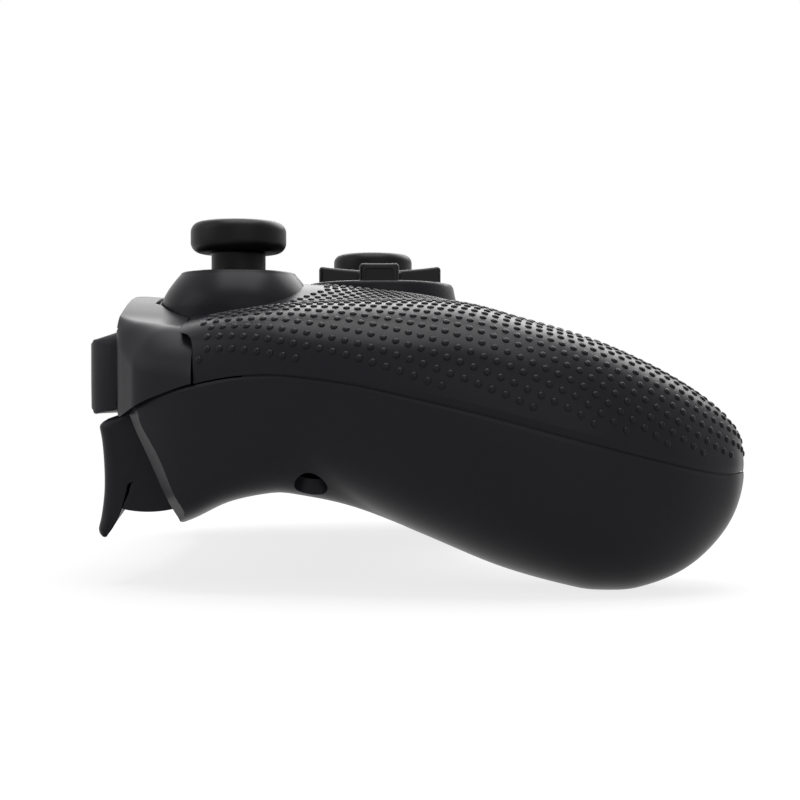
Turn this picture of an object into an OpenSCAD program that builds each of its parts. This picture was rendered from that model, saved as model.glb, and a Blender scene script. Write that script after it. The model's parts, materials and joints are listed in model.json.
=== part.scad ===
// Wireless gamepad, drawn as an assembly of separate pieces.
// +X is the player's right, +Y the front edge with the triggers, +Z up, in millimetres.
// The origin is on the table under the middle of the pad.

/* [Housing] */
// wall thickness of the moulded shells
wall = 2.2; // [1.8:0.1:2.6]
// width of the parting line between neighbouring mouldings
seam_gap = 0.3; // [0.2:0.05:0.5]
// play round every piece that moves in a cut-out
play = 0.4; // [0.3:0.05:0.5]
// height of the raised middle of the face above the table
face_z = 48.6; // [48:0.1:49]
// height of the belly between the triggers
belly_z = 14.7; // [14:0.1:15.4]

/* [Thumbsticks] */
// left stick, sideways
left_stick_x = -38; // [-39:0.5:-37.5]
// left stick, front to back
left_stick_y = 29; // [28.4:0.2:29.6]
// right stick, sideways
right_stick_x = 21; // [20.5:0.5:21.5]
// right stick, front to back
right_stick_y = 7.6; // [7:0.2:8]
// top of the stick caps
stick_top_z = 58.9; // [58.6:0.1:60]
// diameter of the caps
stick_cap_d = 15.9; // [14:0.1:17]
// thickness of the caps at the rim
stick_cap_t = 5.2; // [4:0.1:5.4]
// rounding of the rims of the caps
stick_cap_round = 1.8; // [1:0.1:2.4]
// diameter of the stems
stick_stem_d = 9; // [7:0.1:9.4]
// diameter of the metal shafts
stick_shaft_d = 4; // [3:0.1:4.4]
// diameter of the rim round the stick opening
boss_rim_d = 18.6; // [18.4:0.1:19.6]
// height of that rim
boss_rim_z = 50.3; // [50.1:0.1:50.6]
// diameter of the domed boss at its foot
boss_base_d = 25.8; // [25:0.1:26.4]
// side of the square sensor base under each stick
stick_base = 16; // [15.4:0.1:16.4]

/* [D-pad] */
// centre of the cross, sideways
dpad_x = -21; // [-21.5:0.5:-20.5]
// centre of the cross, front to back
dpad_y = 5.6; // [5:0.2:6]
// tip to tip length of the cross
dpad_span = 21.4; // [20:0.1:22.6]
// width of one arm
dpad_arm = 6.8; // [5:0.1:8]
// height of the arm ends
dpad_top_z = 52.7; // [52.2:0.1:53.2]
// depth of the dished middle
dpad_dish = 0.8; // [0.3:0.1:1.2]
// diameter of the round pedestal
pedestal_d = 25.8; // [25.4:0.1:26.4]
// height of the pedestal's top
pedestal_z = 49.6; // [49.4:0.1:49.9]

/* [Buttons] */
// middle of the four face buttons, sideways
face_x = 37; // [36.4:0.2:37.4]
// middle of the four face buttons, front to back
face_y = 27; // [26.4:0.2:27.4]
// distance of each face button from that middle
face_pitch = 8.2; // [7.8:0.1:8.6]
// diameter of a face button
face_d = 9.8; // [8:0.1:10.2]
// how far a face button stands out of the face
face_rise = 2.8; // [1.8:0.1:3.4]
// diameter of the guide button
guide_d = 12; // [10:0.1:12.6]
// guide button, front to back
guide_y = 30.6; // [30:0.2:31]
// diameter of the back and start buttons
menu_d = 6; // [5:0.1:6.4]
// back and start buttons, sideways
menu_x = 8.5; // [8:0.1:9]
// back and start buttons, front to back
menu_y = 20.6; // [20.2:0.1:21]

/* [Bumpers and triggers] */
// front face of the bumpers
bumper_front = 51.65; // [51:0.05:52.4]
// inner end of a bumper
bumper_x0 = 24.9; // [24.5:0.1:25.6]
// outer end of a bumper
bumper_x1 = 53.6; // [52.6:0.1:54]
// upper edge of a bumper at its front
bumper_top = 38.6; // [38.2:0.1:39]
// lower edge of a bumper
bumper_low = 26.95; // [26.9:0.05:27.2]
// radius of the trigger's drum
drum_r = 18.2; // [17.4:0.1:18.4]
// inner side of a trigger
trigger_x = 36.2; // [36:0.1:36.8]
// width of a trigger
trigger_w = 17.4; // [17:0.1:18.5]
// diameter of the trigger pins
pin_d = 2.4; // [1.8:0.1:2.6]

/* [Inside] */
// thickness of the main board
board_t = 1.6; // [1.2:0.1:1.8]
// battery, sideways
battery_w = 36; // [30:0.5:38]
// battery, front to back
battery_l = 24; // [20:0.5:25]
// battery, thickness
battery_t = 9; // [6:0.1:10]
// diameter of the rumble motor cans
motor_d = 12; // [10:0.1:13]
// radius of the eccentric weights
weight_r = 7; // [5:0.1:8]
// bore of the headset jack
jack_d = 3.6; // [3.5:0.01:3.7]
// shank diameter of the shell screws
screw_d = 2.4; // [2:0.1:2.6]

/* [Hidden] */

half_gap = seam_gap / 2;
board_top = 32.4;
board_z = board_top - board_t;
rib_top = belly_z + wall + 0.9;
plate_y = 42.1;
plate_x = 49;
plate_cut = 7.1;
groove_y = 35.6;
bezel_wall = 2;
front_y = 46.5;
ear_t = 1.2;
bay_x = trigger_x - play - ear_t;
bay_x1 = trigger_x + trigger_w + play + ear_t;
bay_y = 23.2;
bay_top = 30;
bay_wall = 2;
stick_pivot_z = 39.4;
pivot_y = 41.7;
pivot_z = 29.8;
hub_r = 2.7;
jack_z = 21;
jack_face = -13.5;
jack_w = 6;
jack_neck = 2.6;
screw_spots = [[65, 15.4], [51, -37]];
screw_seat = [21, 8];
post_split = [31.5, 19];
board_spots = [[31, -4.5], [23, 34]];
hold_spots = [[44, 6], [13, 37]];
dirs = [[0, 1], [1, 0], [0, -1], [-1, 0]];
motor_at = [44, -21, 18];
motor_l = 12;
motor_shaft_r = 1;
fit = 0.04;

// Outline of the housing seen from above, right half: outer edge and inner edge, paired from
// the middle of the pad to the tip of the grip.
outer_rail = [[0, 51.6], [16, 51.6], [32, 51.6], [46, 50], [57, 45.6], [64.5, 37.6],
  [69.3, 26.6], [73, 15], [75.5, 3], [76.5, -9], [76, -20], [73.5, -30.6], [69, -40.2],
  [62.5, -48], [57.5, -50.9], [54, -51.65]];
inner_rail = [[0, -14], [7, -14.1], [14, -14.7], [20, -15.9], [25, -17.9], [28.5, -20.5],
  [31, -23], [33, -25.5], [35, -28.5], [36.8, -31.8], [38.5, -35.2], [40.5, -39],
  [43, -43.2], [46.8, -48], [50.5, -50.9], [54, -51.65]];
tip_y = -51.65;
// Side views, [y, z]: crown and belly of the grip, the face's rise over the crown in the
// middle of the pad, and the parting line.
crown = [[-51.65, 18.6], [-51.05, 23.4], [-49.55, 25.7], [-43.85, 30.4], [-35.95, 34.8],
  [-26.95, 38.65], [-16.55, 41.8], [-7, 44.35], [5, 44.8], [20, 44.2], [30, 43], [37, 41.7],
  [60, 38]];
belly = [[-51.65, 18.6], [-50.9, 13.7], [-47.05, 7.3], [-41.35, 2.8], [-34.2, 0.3],
  [-29.95, 0], [-25.1, 0.4], [-13.5, 3.5], [-1.1, 8.5], [9.8, 12.8], [18.3, 14.7],
  [21.5, 14.9], [28.5, 13.4], [34.4, 10.5], [60, 0]];
rise = [[-30, 0], [-15, 0.03], [-7, 0.31], [5, 0.63], [18, 1], [30, 1.1], [37, 1.25],
  [60, 1.6]];
parting = [[-60, 18], [-51.65, 18.1], [-45.7, 18.1], [-35.9, 20.2], [-23.4, 23.4],
  [-9.4, 27.15], [3.5, 30.2], [9, 31.4], [18.3, 32.65], [22.8, 32.8], [27.5, 32.5],
  [32.7, 31.55], [39.1, 30], [44.4, 27.5], [60, 18.4]];

function slope(p, i) =
  let (a = max(i - 1, 0), b = min(i + 1, len(p) - 1)) (p[b][1] - p[a][1]) / (p[b][0] - p[a][0]);
function seg(p, u, i = 0) = (i >= len(p) - 2 || u < p[i + 1][0]) ? i : seg(p, u, i + 1);
function curve(p, u) =
  let (i = seg(p, u), h = p[i + 1][0] - p[i][0], t = (u - p[i][0]) / h)
  (2 * t ^ 3 - 3 * t ^ 2 + 1) * p[i][1] + (t ^ 3 - 2 * t ^ 2 + t) * slope(p, i) * h
  + (3 * t ^ 2 - 2 * t ^ 3) * p[i + 1][1] + (t ^ 3 - t ^ 2) * slope(p, i + 1) * h;
// The grip's end is round, so its side curves run over the root of the distance from the tip.
function root(y) = sqrt(max(y - tip_y, 0));
function rooted(p) = [for (q = p) [root(q[0]), q[1]]];
crown_u = rooted(crown);
belly_u = rooted(belly);
function mix(a, b, t) = a + (b - a) * t;
function step01(a, b, v) = let (t = min(max((v - a) / (b - a), 0), 1)) t * t * (3 - 2 * t);
function rail(p, far, t) =
  let (i = min(floor(t), len(p) - 2), u = t - i,
    a = i == 0 ? [-p[1][0], p[1][1]] : p[i - 1], b = p[i], c = p[i + 1],
    d = i == len(p) - 2 ? far[len(far) - 2] : p[i + 2])
  0.5 * (2 * b + (c - a) * u + (2 * a - 5 * b + 4 * c - d) * u ^ 2
    + (3 * b - a - 3 * c + d) * u ^ 3);
function bulge(s, n) = (1 - min(abs(s), 1) ^ n) ^ (1 / n);
function crown_at(x, y) =
  curve(crown_u, root(y)) + (face_z - 44.3) * curve(rise, y) * step01(54, 36, abs(x));
function belly_at(x, y) = mix(belly_z, curve(belly_u, root(y)), step01(24, 44, abs(x)));
// One point of the housing's skin: t along the pad, s across it, side -1 or 1, up or down.
function skin(t, s, side, up, inset, lift) =
  let (a = rail(outer_rail, inner_rail, t), b = rail(inner_rail, outer_rail, t),
    n = (a - b) / norm(a - b), o = a - n * inset, i = b + n * inset,
    p = mix(i, o, (s + 1) / 2), zp = curve(parting, p[1]) + lift,
    power = up ? mix(5, 2.3, step01(3, 8, t)) : mix(5, 2.2, step01(3, 9, t)),
    z = up ? crown_at(p[0], p[1]) - inset : belly_at(p[0], p[1]) + inset)
  [side * p[0], p[1], zp + (z - zp) * bulge(s, power)];
function half_ring(t, side, up, inset, lift, n) =
  [for (k = [n:-1:-n]) skin(t, sin(90 * k / n), side, up, inset, lift)];
function full_ring(t, side, inset, n) =
  concat(half_ring(t, side, true, inset, 0, n),
    [for (k = [-n + 1:n - 1]) skin(t, sin(90 * k / n), side, false, inset, 0)]);
function loft_faces(rings, n) =
  concat([[for (k = [0:n - 1]) k], [for (k = [n - 1:-1:0]) (rings - 1) * n + k]],
    [for (j = [0:rings - 2], k = [0:n - 1]) let (a = j * n, m = (k + 1) % n)
      each [[a + k, a + n + k, a + m], [a + m, a + n + k, a + n + m]]]);
function turned(faces) = [for (f = faces) [for (i = [len(f) - 1:-1:0]) f[i]]];
stations = [0, 2, 3.2, 4, 4.6, 5.2, 5.8, 6.5, 7.3, 8.2, 9.2, 10.2, 11.1, 12, 12.7, 13.3, 13.8,
  14.25, 14.6, 14.9];
hollow_stations = [0, 2, 4, 5, 6, 7.2, 8.6, 10, 11.4, 12.6, 13.5];
both_ways = [for (i = [len(stations) - 1:-1:1]) [stations[i], -1], for (t = stations) [t, 1]];
hollow_ways = [for (i = [len(hollow_stations) - 1:-1:1]) [hollow_stations[i], -1],
  for (t = hollow_stations) [t, 1]];
steps = 7;
hollow_steps = 5;

module half_body(up) {
  n = 2 * steps + 1;
  faces = loft_faces(len(both_ways), n);
  polyhedron([for (w = both_ways) each half_ring(w[0], w[1], up, 0, up ? half_gap : -half_gap, steps)],
    up ? faces : turned(faces), 6);
}

module body_hollow() {
  polyhedron([for (w = hollow_ways) each full_ring(w[0], w[1], wall, hollow_steps)],
    loft_faces(len(hollow_ways), 4 * hollow_steps), 6);
}

// Draws a side view, y to the right and z up, over a slice of the width.
module across(x0, x1) {
  translate([x0, 0, 0]) rotate([90, 0, 90]) linear_extrude(x1 - x0) children();
}

module both_sides() {
  children();
  mirror([1, 0, 0]) children();
}

module on_side(left) {
  mirror([left ? 1 : 0, 0, 0]) children();
}

// The shoulder housings meet the top shell along this stepped groove.
module groove_line(shift) {
  polygon([[32.7 + shift, 15], [33.1 + shift, 37.1], [33.6 + shift, 38.4],
    [34.8 + shift, 39.3], [groove_y + shift, 39.4], [groove_y + shift, 70], [70, 70], [70, 15]]);
}

module shoulder_space(shift) {
  both_sides() across(plate_x + shift, 90) groove_line(shift);
  translate([0, 0, 15]) linear_extrude(55) difference() {
    translate([-plate_x - shift, plate_y - plate_cut - 1]) square([2 * (plate_x + shift), 60]);
    plate_plan(shift);
  }
}

// The face between the shoulders from above; its front corners are cut back to the stick boss.
module plate_plan(shift) {
  slope = shift * tan(22.5);
  polygon(mirrored([[plate_x + shift, 0], [plate_x + shift, plate_y - plate_cut + slope],
    [plate_x - plate_cut + slope, plate_y + shift]]));
}

// Slanted front edge of the lower shell at each trigger bay.
slant_low = [35.9, 11.2];
slant_high = [44, 27.2];
slant = atan2(slant_high[0] - slant_low[0], slant_high[1] - slant_low[1]);

module in_front_of_slant() {
  both_sides() across(bay_x, 90) translate(slant_low) rotate(-slant)
    translate([0, -40]) square([60, 80]);
}

// Room for the trigger's drum to swing in.
module drum_room() {
  both_sides() across(bay_x, bay_x1) intersection() {
    translate([pivot_y, pivot_z]) circle(r = drum_r + play, $fn = 64);
    translate([bay_y + 1, 5]) square([40, 19]);
  }
}

module slant_chamfer() {
  both_sides() translate([0, slant_low[0], slant_low[1]]) rotate([-slant, 0, 0])
    translate([64.5, 0, -30]) rotate([0, 0, 50]) translate([0, -20, 0]) cube([20, 40, 70]);
}

left_stick = [left_stick_x, left_stick_y];
right_stick = [right_stick_x, right_stick_y];
stick_spots = [left_stick, right_stick];
stick_hole_r = boss_rim_d / 2 - 1;
dome_r = 10;
dome_t = 1.2;
dome_clear = 0.7;
boss_foot = 41;

module stick_boss() {
  r0 = boss_rim_d / 2;
  r1 = boss_base_d / 2;
  rotate_extrude($fn = 40)
    polygon(concat([[0, boss_foot], [0, boss_rim_z]],
      [for (d = [0:0.2:1]) [r1 - (r1 - r0) * (1 - d) ^ 1.6, boss_rim_z - 6.2 * d]],
      [[r1, boss_foot]]));
}

module stick_opening() {
  r = dome_r + dome_clear;
  a = asin(stick_hole_r / r);
  rotate_extrude($fn = 36)
    polygon(concat([[0, 30], [r, 30]],
      [for (k = [0:3]) let (t = mix(90, a, k / 3)) [r * sin(t), stick_pivot_z + r * cos(t)]],
      [[stick_hole_r, 70], [0, 70]]));
}

module pedestal() {
  r = pedestal_d / 2;
  rotate_extrude($fn = 40)
    polygon([[0, 42], [0, pedestal_z], [r - 0.4, pedestal_z], [r, pedestal_z - 0.3],
      [r + 0.4, pedestal_z - 2], [r + 1.2, pedestal_z - 5], [r + 1.2, 42]]);
}

module cross_outline(grow) {
  for (a = [0, 90]) rotate(a) square([dpad_span + 2 * grow, dpad_arm + 2 * grow], center = true);
}

dpad_room = dpad_span / 2 + 0.45;

module dpad_opening() {
  translate([0, 0, 30]) cylinder(r = dpad_room, h = pedestal_z - 31.6, $fn = 36);
  translate([0, 0, 30]) linear_extrude(40) cross_outline(play + 0.1);
}

module rounded_post(p, r, z0, z1) {
  hull() {
    translate([p[0], p[1], z0]) cylinder(r = r + 0.5, h = 0.5, $fn = 16);
    translate([p[0], p[1], z1 - 0.5]) cylinder(r = r, h = 0.5, $fn = 16);
  }
}

function face_spot(i) = [face_x, face_y] + face_pitch * dirs[i];
guide_ring_r = guide_d / 2 + 1.4;

// Upper moulding: face, stick bosses, D-pad pedestal and the upper half of the grips.
module top_shell() {
  color("#2c2b30") difference() {
    union() {
      difference() {
        union() {
          difference() {
            half_body(true);
            body_hollow();
          }
          intersection() {
            half_body(true);
            union() {
              both_sides() for (i = [0, 1]) rounded_post(screw_spots[i], 2.9, 60, post_split[i]);
              both_sides() for (p = hold_spots) rounded_post(p, 1.6, 60, board_top + 0.5 + fit);
            }
          }
        }
        shoulder_space(-half_gap);
      }
      for (p = stick_spots) translate(p) stick_boss();
      translate([dpad_x, dpad_y, 0]) pedestal();
    }
    for (p = stick_spots) translate(p) stick_opening();
    translate([dpad_x, dpad_y, 0]) dpad_opening();
    for (i = [0:3]) translate(face_spot(i)) cylinder(d = face_d + 2 * play, h = 90, $fn = 28);
    translate([0, guide_y, 0]) cylinder(r = guide_ring_r, h = 90, $fn = 32);
    both_sides() translate([menu_x, menu_y, 0]) cylinder(d = menu_d + 2 * play, h = 90, $fn = 24);
    both_sides() for (i = [0, 1]) translate([screw_spots[i][0], screw_spots[i][1], 0])
      cylinder(d = screw_d + 2 * fit, h = post_split[i] + 7, $fn = 16);
  }
}

head_r = 2.2;

// Lower moulding: belly, trigger bays, posts for the screws and the board, motor cradles.
module bottom_shell() {
  color("#2c2b30") difference() {
    union() {
      difference() {
        half_body(false);
        difference() {
          intersection() {
            body_hollow();
            translate([-90, -90, -1]) cube([180, 90 + front_y - bezel_wall, 90]);
          }
          both_sides() {
            translate([bay_x - bay_wall, bay_y - bay_wall, 0]) cube([40, bay_wall, bay_top]);
            translate([bay_x - bay_wall, bay_y - bay_wall, 0]) cube([bay_wall, 40, bay_top]);
            translate([bay_x1, 31, 0]) cube([20, 30, bay_top]);
            translate([bay_x1, bay_y - bay_wall, 0]) cube([bay_wall, 20, bay_top]);
          }
        }
      }
      intersection() {
        half_body(false);
        union() {
          both_sides() for (i = [0, 1]) rounded_post(screw_spots[i], 3, 0, post_split[i] - 0.2);
          both_sides() for (p = board_spots) rounded_post(p, 2.6, 0, board_z);
          both_sides() translate([battery_w / 4, 2, 0]) cube([2, battery_l - 2, rib_top]);
          translate([-1.5, -11, 0]) cube([3, 9, jack_z - 3]);
          both_sides() for (x = [2, motor_l - 4])
            translate(motor_at + [x, -5, -30]) cube([2, 10, 28]);
        }
      }
    }
    in_front_of_slant();
    drum_room();
    slant_chamfer();
    translate([-90, front_y, 0]) cube([180, 40, 60]);
    both_sides() translate(motor_at) rotate([0, 90, 0]) cylinder(d = motor_d + 2 * fit, h = motor_l, $fn = 32);
    both_sides() for (i = [0, 1]) translate([screw_spots[i][0], screw_spots[i][1], -1]) {
      cylinder(r = head_r + 0.3, h = screw_seat[i] + 1, $fn = 24);
      cylinder(d = screw_d + 0.4, h = 60, $fn = 16);
    }
    both_sides() for (p = board_spots) translate([p[0], p[1], board_z - 6])
      cylinder(r = 0.9, h = 20, $fn = 16);
    translate([0, -5, jack_z]) rotate([90, 0, 0]) cylinder(r = 3.1, h = 20, $fn = 32);
    translate([-jack_w / 2 - fit, jack_face + jack_neck - fit, jack_z - jack_w / 2])
      cube([jack_w + 2 * fit, 12 + 2 * fit, jack_w + fit]);
  }
}

window_x0 = bumper_x0 - play;
window_x1 = bumper_x1 + play;
window_low = bumper_low - play;
window_top = bumper_top + 1.5 + play;

// Shoulder housing seen from the side, from above and from the front.
module bezel_side(t) {
  low = [for (y = [46:-2:groove_y - 4]) [y, curve(parting, y) + half_gap - t]];
  polygon(concat([[groove_y - 4, 60], [front_y - t, 60], [front_y - t, 38], [46 - t, 27 - t]],
    [for (p = low) if (p[0] < 46 - t) p]));
}

function mirrored(p) = concat(p, [for (i = [len(p) - 1:-1:0]) [-p[i][0], p[i][1]]]);

module bezel_plan(t) {
  polygon(mirrored([[50, front_y + 1 - t], [56.5 - t / 2, 45.9 - t], [63 - t, 42 - t / 2],
    [68 - t, 31.5], [68 - t, 28]]));
}

module bezel_front(t) {
  polygon(mirrored([[0, 48.3 - t], [20, 47.6 - t], [36, 46.5 - t], [42, 45.4 - t], [47, 43.9 - t],
    [52, 42.3 - t], [56.5 - t / 3, 41.4 - t], [60 - t / 2, 41 - t], [62.2 - t / 1.5, 40.4 - t],
    [64 - t * 0.8, 39.3 - t], [65.3 - t, 37.9 - t / 1.3], [66.3 - t, 35.5 - t / 2], [67.2 - t, 32], [68 - t, 10]]));
}

bezel_fall = 4;

module bezel_solid(t) {
  intersection() {
    across(-70, 70) bezel_side(t);
    linear_extrude(60) bezel_plan(t);
    translate([0, front_y, 0]) rotate([90 + bezel_fall, 0, 0]) translate([0, 0, -10])
      linear_extrude(40) bezel_front(t);
  }
}

pair_x = 16;
pair_z = 36;
pair_r = 1.8;
usb_size = [9, 7.4, 3.2];

// Both shoulder housings and the bridge between them, one moulding with the bumper windows.
module front_bezel() {
  color("#29282d") difference() {
    bezel_solid(0);
    bezel_solid(bezel_wall);
    linear_extrude(60) plate_plan(half_gap);
    both_sides() across(plate_x - 1, 70) difference() {
      translate([20, 10]) square([20, 50]);
      groove_line(half_gap);
    }
    translate([left_stick[0], left_stick[1], 30]) cylinder(d = boss_base_d + 2 * seam_gap, h = 30, $fn = 64);
    both_sides() translate([window_x0, 43, window_low - 3])
      cube([window_x1 - window_x0, 10, window_top - window_low + 3]);
    translate([-usb_size[0] / 2 - play, 40, board_top - play])
      cube([usb_size[0] + 2 * play, 10, usb_size[2] + 2 * play]);
    translate([pair_x, 50, pair_z]) rotate([90, 0, 0]) cylinder(r = pair_r + play, h = 10, $fn = 32);
    both_sides() across(bay_x1 - ear_t - play, bay_x1 + play) translate(pivot) circle(r = hub_r + play, $fn = 48);
  }
}

bumper_back = 45.9;
stem_x = [26.5, 31.5];
stem_z = [34.4, 37.4];

module bumper() {
  color("#232227") {
    intersection() {
      across(bumper_x0, bumper_x1)
        polygon([[bumper_back, bumper_low + 0.9], [bumper_front - 1.1, bumper_low],
          [bumper_front - 0.4, bumper_low + 1], [bumper_front, bumper_top - 0.7],
          [bumper_front - 0.5, bumper_top], [46.6, bumper_top + 1.5], [bumper_back, bumper_top + 1.5]]);
      linear_extrude(60) polygon([[bumper_x0, 40], [bumper_x1, 40], [bumper_x1, 47], [bumper_x1 - 1.3, 49.3],
        [bumper_x1 - 3.1, 50.9], [bumper_x1 - 5.2, bumper_front], [bumper_x0 + 1, bumper_front],
        [bumper_x0, bumper_front - 1]]);
    }
    translate([stem_x[0], 40.9, stem_z[0]])
      cube([stem_x[1] - stem_x[0], bumper_back - 40.9, stem_z[1] - stem_z[0]]);
    translate([bumper_x0 - 2.4, 42.6, stem_z[0]])
      cube([stem_x[0] - bumper_x0 + 2.5, 1.2, stem_z[1] - stem_z[0]]);
  }
}

pivot = [pivot_y, pivot_z];
spring_room = 7;
trigger_mid = trigger_x + trigger_w / 2;

module blade_outline() {
  polygon([pivot + [1.2, 2.1], [45, 26.2], [48.6, 25.9], [49.15, 25.1], [48.7, 22.3],
    [48.35, 18.3], [48.35, 14.75], [48.8, 11.2], [49.25, 9], [48.9, 8.2], [47.85, 7.76],
    [46.55, 9.4], [45.35, 11.9], [44.45, 14.75], [43.6, 18], pivot + [-2, -1.5]]);
}

module drum_outline() {
  intersection() {
    translate(pivot) circle(r = drum_r, $fn = 96);
    polygon([pivot, pivot + 30 * [sin(8), -cos(8)], pivot + 30 * [-sin(20), -cos(20)],
      pivot + 30 * [-sin(50), -cos(50)]]);
  }
}

// Pull lever with its round drum, hollowed from behind, and the hub that turns on the pin.
// Its lower edge rises towards the middle of the pad.
module trigger() {
  color("#232227") difference() {
    intersection() {
      union() {
        across(trigger_x, trigger_x + trigger_w) blade_outline();
        across(trigger_x, trigger_x + trigger_w) drum_outline();
        across(trigger_x, trigger_x + trigger_w) translate(pivot) circle(r = hub_r, $fn = 48);
      }
      translate([trigger_mid, 60, 0]) rotate([90, 0, 0]) linear_extrude(50)
        polygon([[-15, 40], [-15, 13.6], [-7, 12], [2, 9.8], [7, 7.9], [9, 7.4], [15, 7.4], [15, 40]]);
    }
    across(trigger_x + 2, trigger_x + trigger_w - 2) intersection() {
      translate(pivot) difference() {
        circle(r = drum_r - 2, $fn = 96);
        circle(r = hub_r + 1.5, $fn = 48);
      }
      polygon([pivot + [-1, 0], [43.4, 24], [43, 14.5], [40, 9], pivot + 30 * [-sin(51), -cos(51)]]);
    }
    across(trigger_mid - spring_room / 2, trigger_mid + spring_room / 2)
      translate(pivot) circle(r = hub_r + 1.6, $fn = 48);
    across(trigger_x - 1, trigger_x + trigger_w + 1) translate(pivot) circle(d = pin_d + 2 * fit, $fn = 48);
  }
}

ear_in = bay_x;
ear_out = bay_x1 - ear_t;

module trigger_frame() {
  color("#4a4a50") difference() {
    union() {
      for (x = [ear_in, ear_out]) across(x, x + ear_t) {
        translate(pivot) circle(r = hub_r, $fn = 48);
        polygon([pivot + [-2.6, -0.8], pivot + [2.2, -1.5], [38.6, 24.5], [30, 24], [bay_y, 27],
          [bay_y, 29.6], [36, 29.6]]);
      }
      translate([ear_in, bay_y, 27.6]) cube([ear_out + ear_t - ear_in, 1.2, 2]);
    }
    across(ear_in - 1, ear_out + 5) translate(pivot) circle(d = pin_d, $fn = 48);
  }
}

module trigger_pin() {
  color("#9a9a9e") across(ear_in, ear_out + ear_t) translate(pivot) circle(d = pin_d, $fn = 48);
}

// Closed tube round a chain of points; each ring is a small polygon square to the chain.
function unit(v) = v / norm(v);
function tube_points(p, r, n) = [for (i = [0:len(p) - 1])
  let (d = unit(p[min(i + 1, len(p) - 1)] - p[max(i - 1, 0)]), a = unit(cross(d, [1, 0.01, 0.02])),
    b = cross(d, a)) each [for (k = [0:n - 1]) p[i] + r * (cos(360 * k / n) * a + sin(360 * k / n) * b)]];

spring_wire = 0.35;
spring_turns = 4;
spring_r = hub_r - 0.2;

module trigger_spring() {
  steps_turn = 14;
  count = spring_turns * steps_turn;
  pitch = (spring_room - 2) / count;
  coil = [for (i = [0:count]) [trigger_mid - spring_room / 2 + 1 + i * pitch,
    pivot_y + spring_r * sin(360 * i / steps_turn), pivot_z + spring_r * cos(360 * i / steps_turn)]];
  chain = concat(coil, [coil[count] + [0, 1.5, 0.15], coil[count] + [0, 2.2, 0.2]]);
  color("#b0b0b4") polyhedron(tube_points(chain, spring_wire, 6), turned(loft_faces(len(chain), 6)), 6);
}

// Rubber-topped cap with its stem and the round skirt that closes the opening under it.
module stick_cap() {
  r = stick_cap_d / 2;
  e = stick_cap_t / 2;
  c = stick_cap_round;
  top = stick_top_z;
  rs = stick_stem_d / 2;
  a0 = asin(rs / dome_r);
  ri = dome_r - dome_t;
  rb = stick_shaft_d / 2;
  color("#17161a") rotate_extrude($fn = 96) polygon(concat(
    [[0, top - 1.1], [2.5, top - 0.95], [4.4, top - 0.5]],
    [for (a = [75:-15:0]) [r - c + c * cos(a), top - c + c * sin(a)]],
    [for (a = [0:-15:-75]) [r - c + c * cos(a), top - 2 * e + c + c * sin(a)]],
    [[rs + 0.3, top - 2 * e], [rs, top - 2 * e - 0.4]],
    [for (i = [0:5]) let (a = mix(a0, 75, i / 5)) [dome_r * sin(a), stick_pivot_z + dome_r * cos(a)]],
    [for (i = [0:5]) let (a = mix(75, 24, i / 5)) [ri * sin(a), stick_pivot_z + ri * cos(a)]],
    [[rb + 1.3, stick_pivot_z + 7], [rb + 1.3, stick_pivot_z + 6], [rb, stick_pivot_z + 6],
      [rb, top - 4.5], [0, top - 4.5]]));
}

rocker_r = stick_shaft_d / 2 + 1.6;
gimbal_in = rocker_r + 0.6;
gimbal_out = gimbal_in + 1.8;
cup_in = gimbal_out + 0.5;
cup_out = cup_in + 1;
rock_pin = 0.9;
tilt_pin = 1.1;
yoke_h = 2.8;

module stick_shaft() {
  color("#8f8f94") translate([0, 0, stick_pivot_z - 2.2])
    cylinder(d = stick_shaft_d, h = stick_top_z - 4.5 - stick_pivot_z + 2.2, $fn = 48);
}

module stick_rocker() {
  color("#d9d9dc") translate([0, 0, stick_pivot_z]) difference() {
    union() {
      cylinder(r = rocker_r, h = yoke_h, center = true, $fn = 48);
      rotate([90, 0, 0]) cylinder(r = rock_pin, h = 2 * gimbal_out - 1, center = true, $fn = 32);
    }
    cylinder(d = stick_shaft_d + 2 * fit, h = 10, center = true, $fn = 48);
  }
}

module stick_gimbal() {
  color("#3d3d42") translate([0, 0, stick_pivot_z]) difference() {
    union() {
      cylinder(r = gimbal_out, h = yoke_h + 0.4, center = true, $fn = 48);
      rotate([0, 90, 0]) cylinder(r = tilt_pin, h = 2 * cup_out - 0.6, center = true, $fn = 32);
    }
    cylinder(r = gimbal_in, h = 10, center = true, $fn = 48);
    rotate([90, 0, 0]) cylinder(r = rock_pin + fit, h = 20, center = true, $fn = 32);
  }
}

module stick_base() {
  color("#55555a") difference() {
    union() {
      translate([-stick_base / 2, -stick_base / 2, board_top]) cube([stick_base, stick_base, 4.8]);
      translate([0, 0, board_top]) cylinder(r = cup_out, h = stick_pivot_z + 2.3 - board_top, $fn = 64);
    }
    translate([0, 0, board_top + 1.6]) cylinder(r = cup_in, h = 20, $fn = 64);
    translate([0, 0, stick_pivot_z]) rotate([0, 90, 0])
      cylinder(r = tilt_pin + fit, h = 40, center = true, $fn = 32);
  }
}

module stick_sensors() {
  color("#2f6f4a") {
    translate([stick_base / 2, -5, board_top]) cube([2.4, 10, 4.6]);
    translate([-5, -stick_base / 2 - 2.4, board_top]) cube([10, 2.4, 4.6]);
  }
}

flange_z = 44.2;
dpad_pivot_z = pedestal_z - 1;

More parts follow.
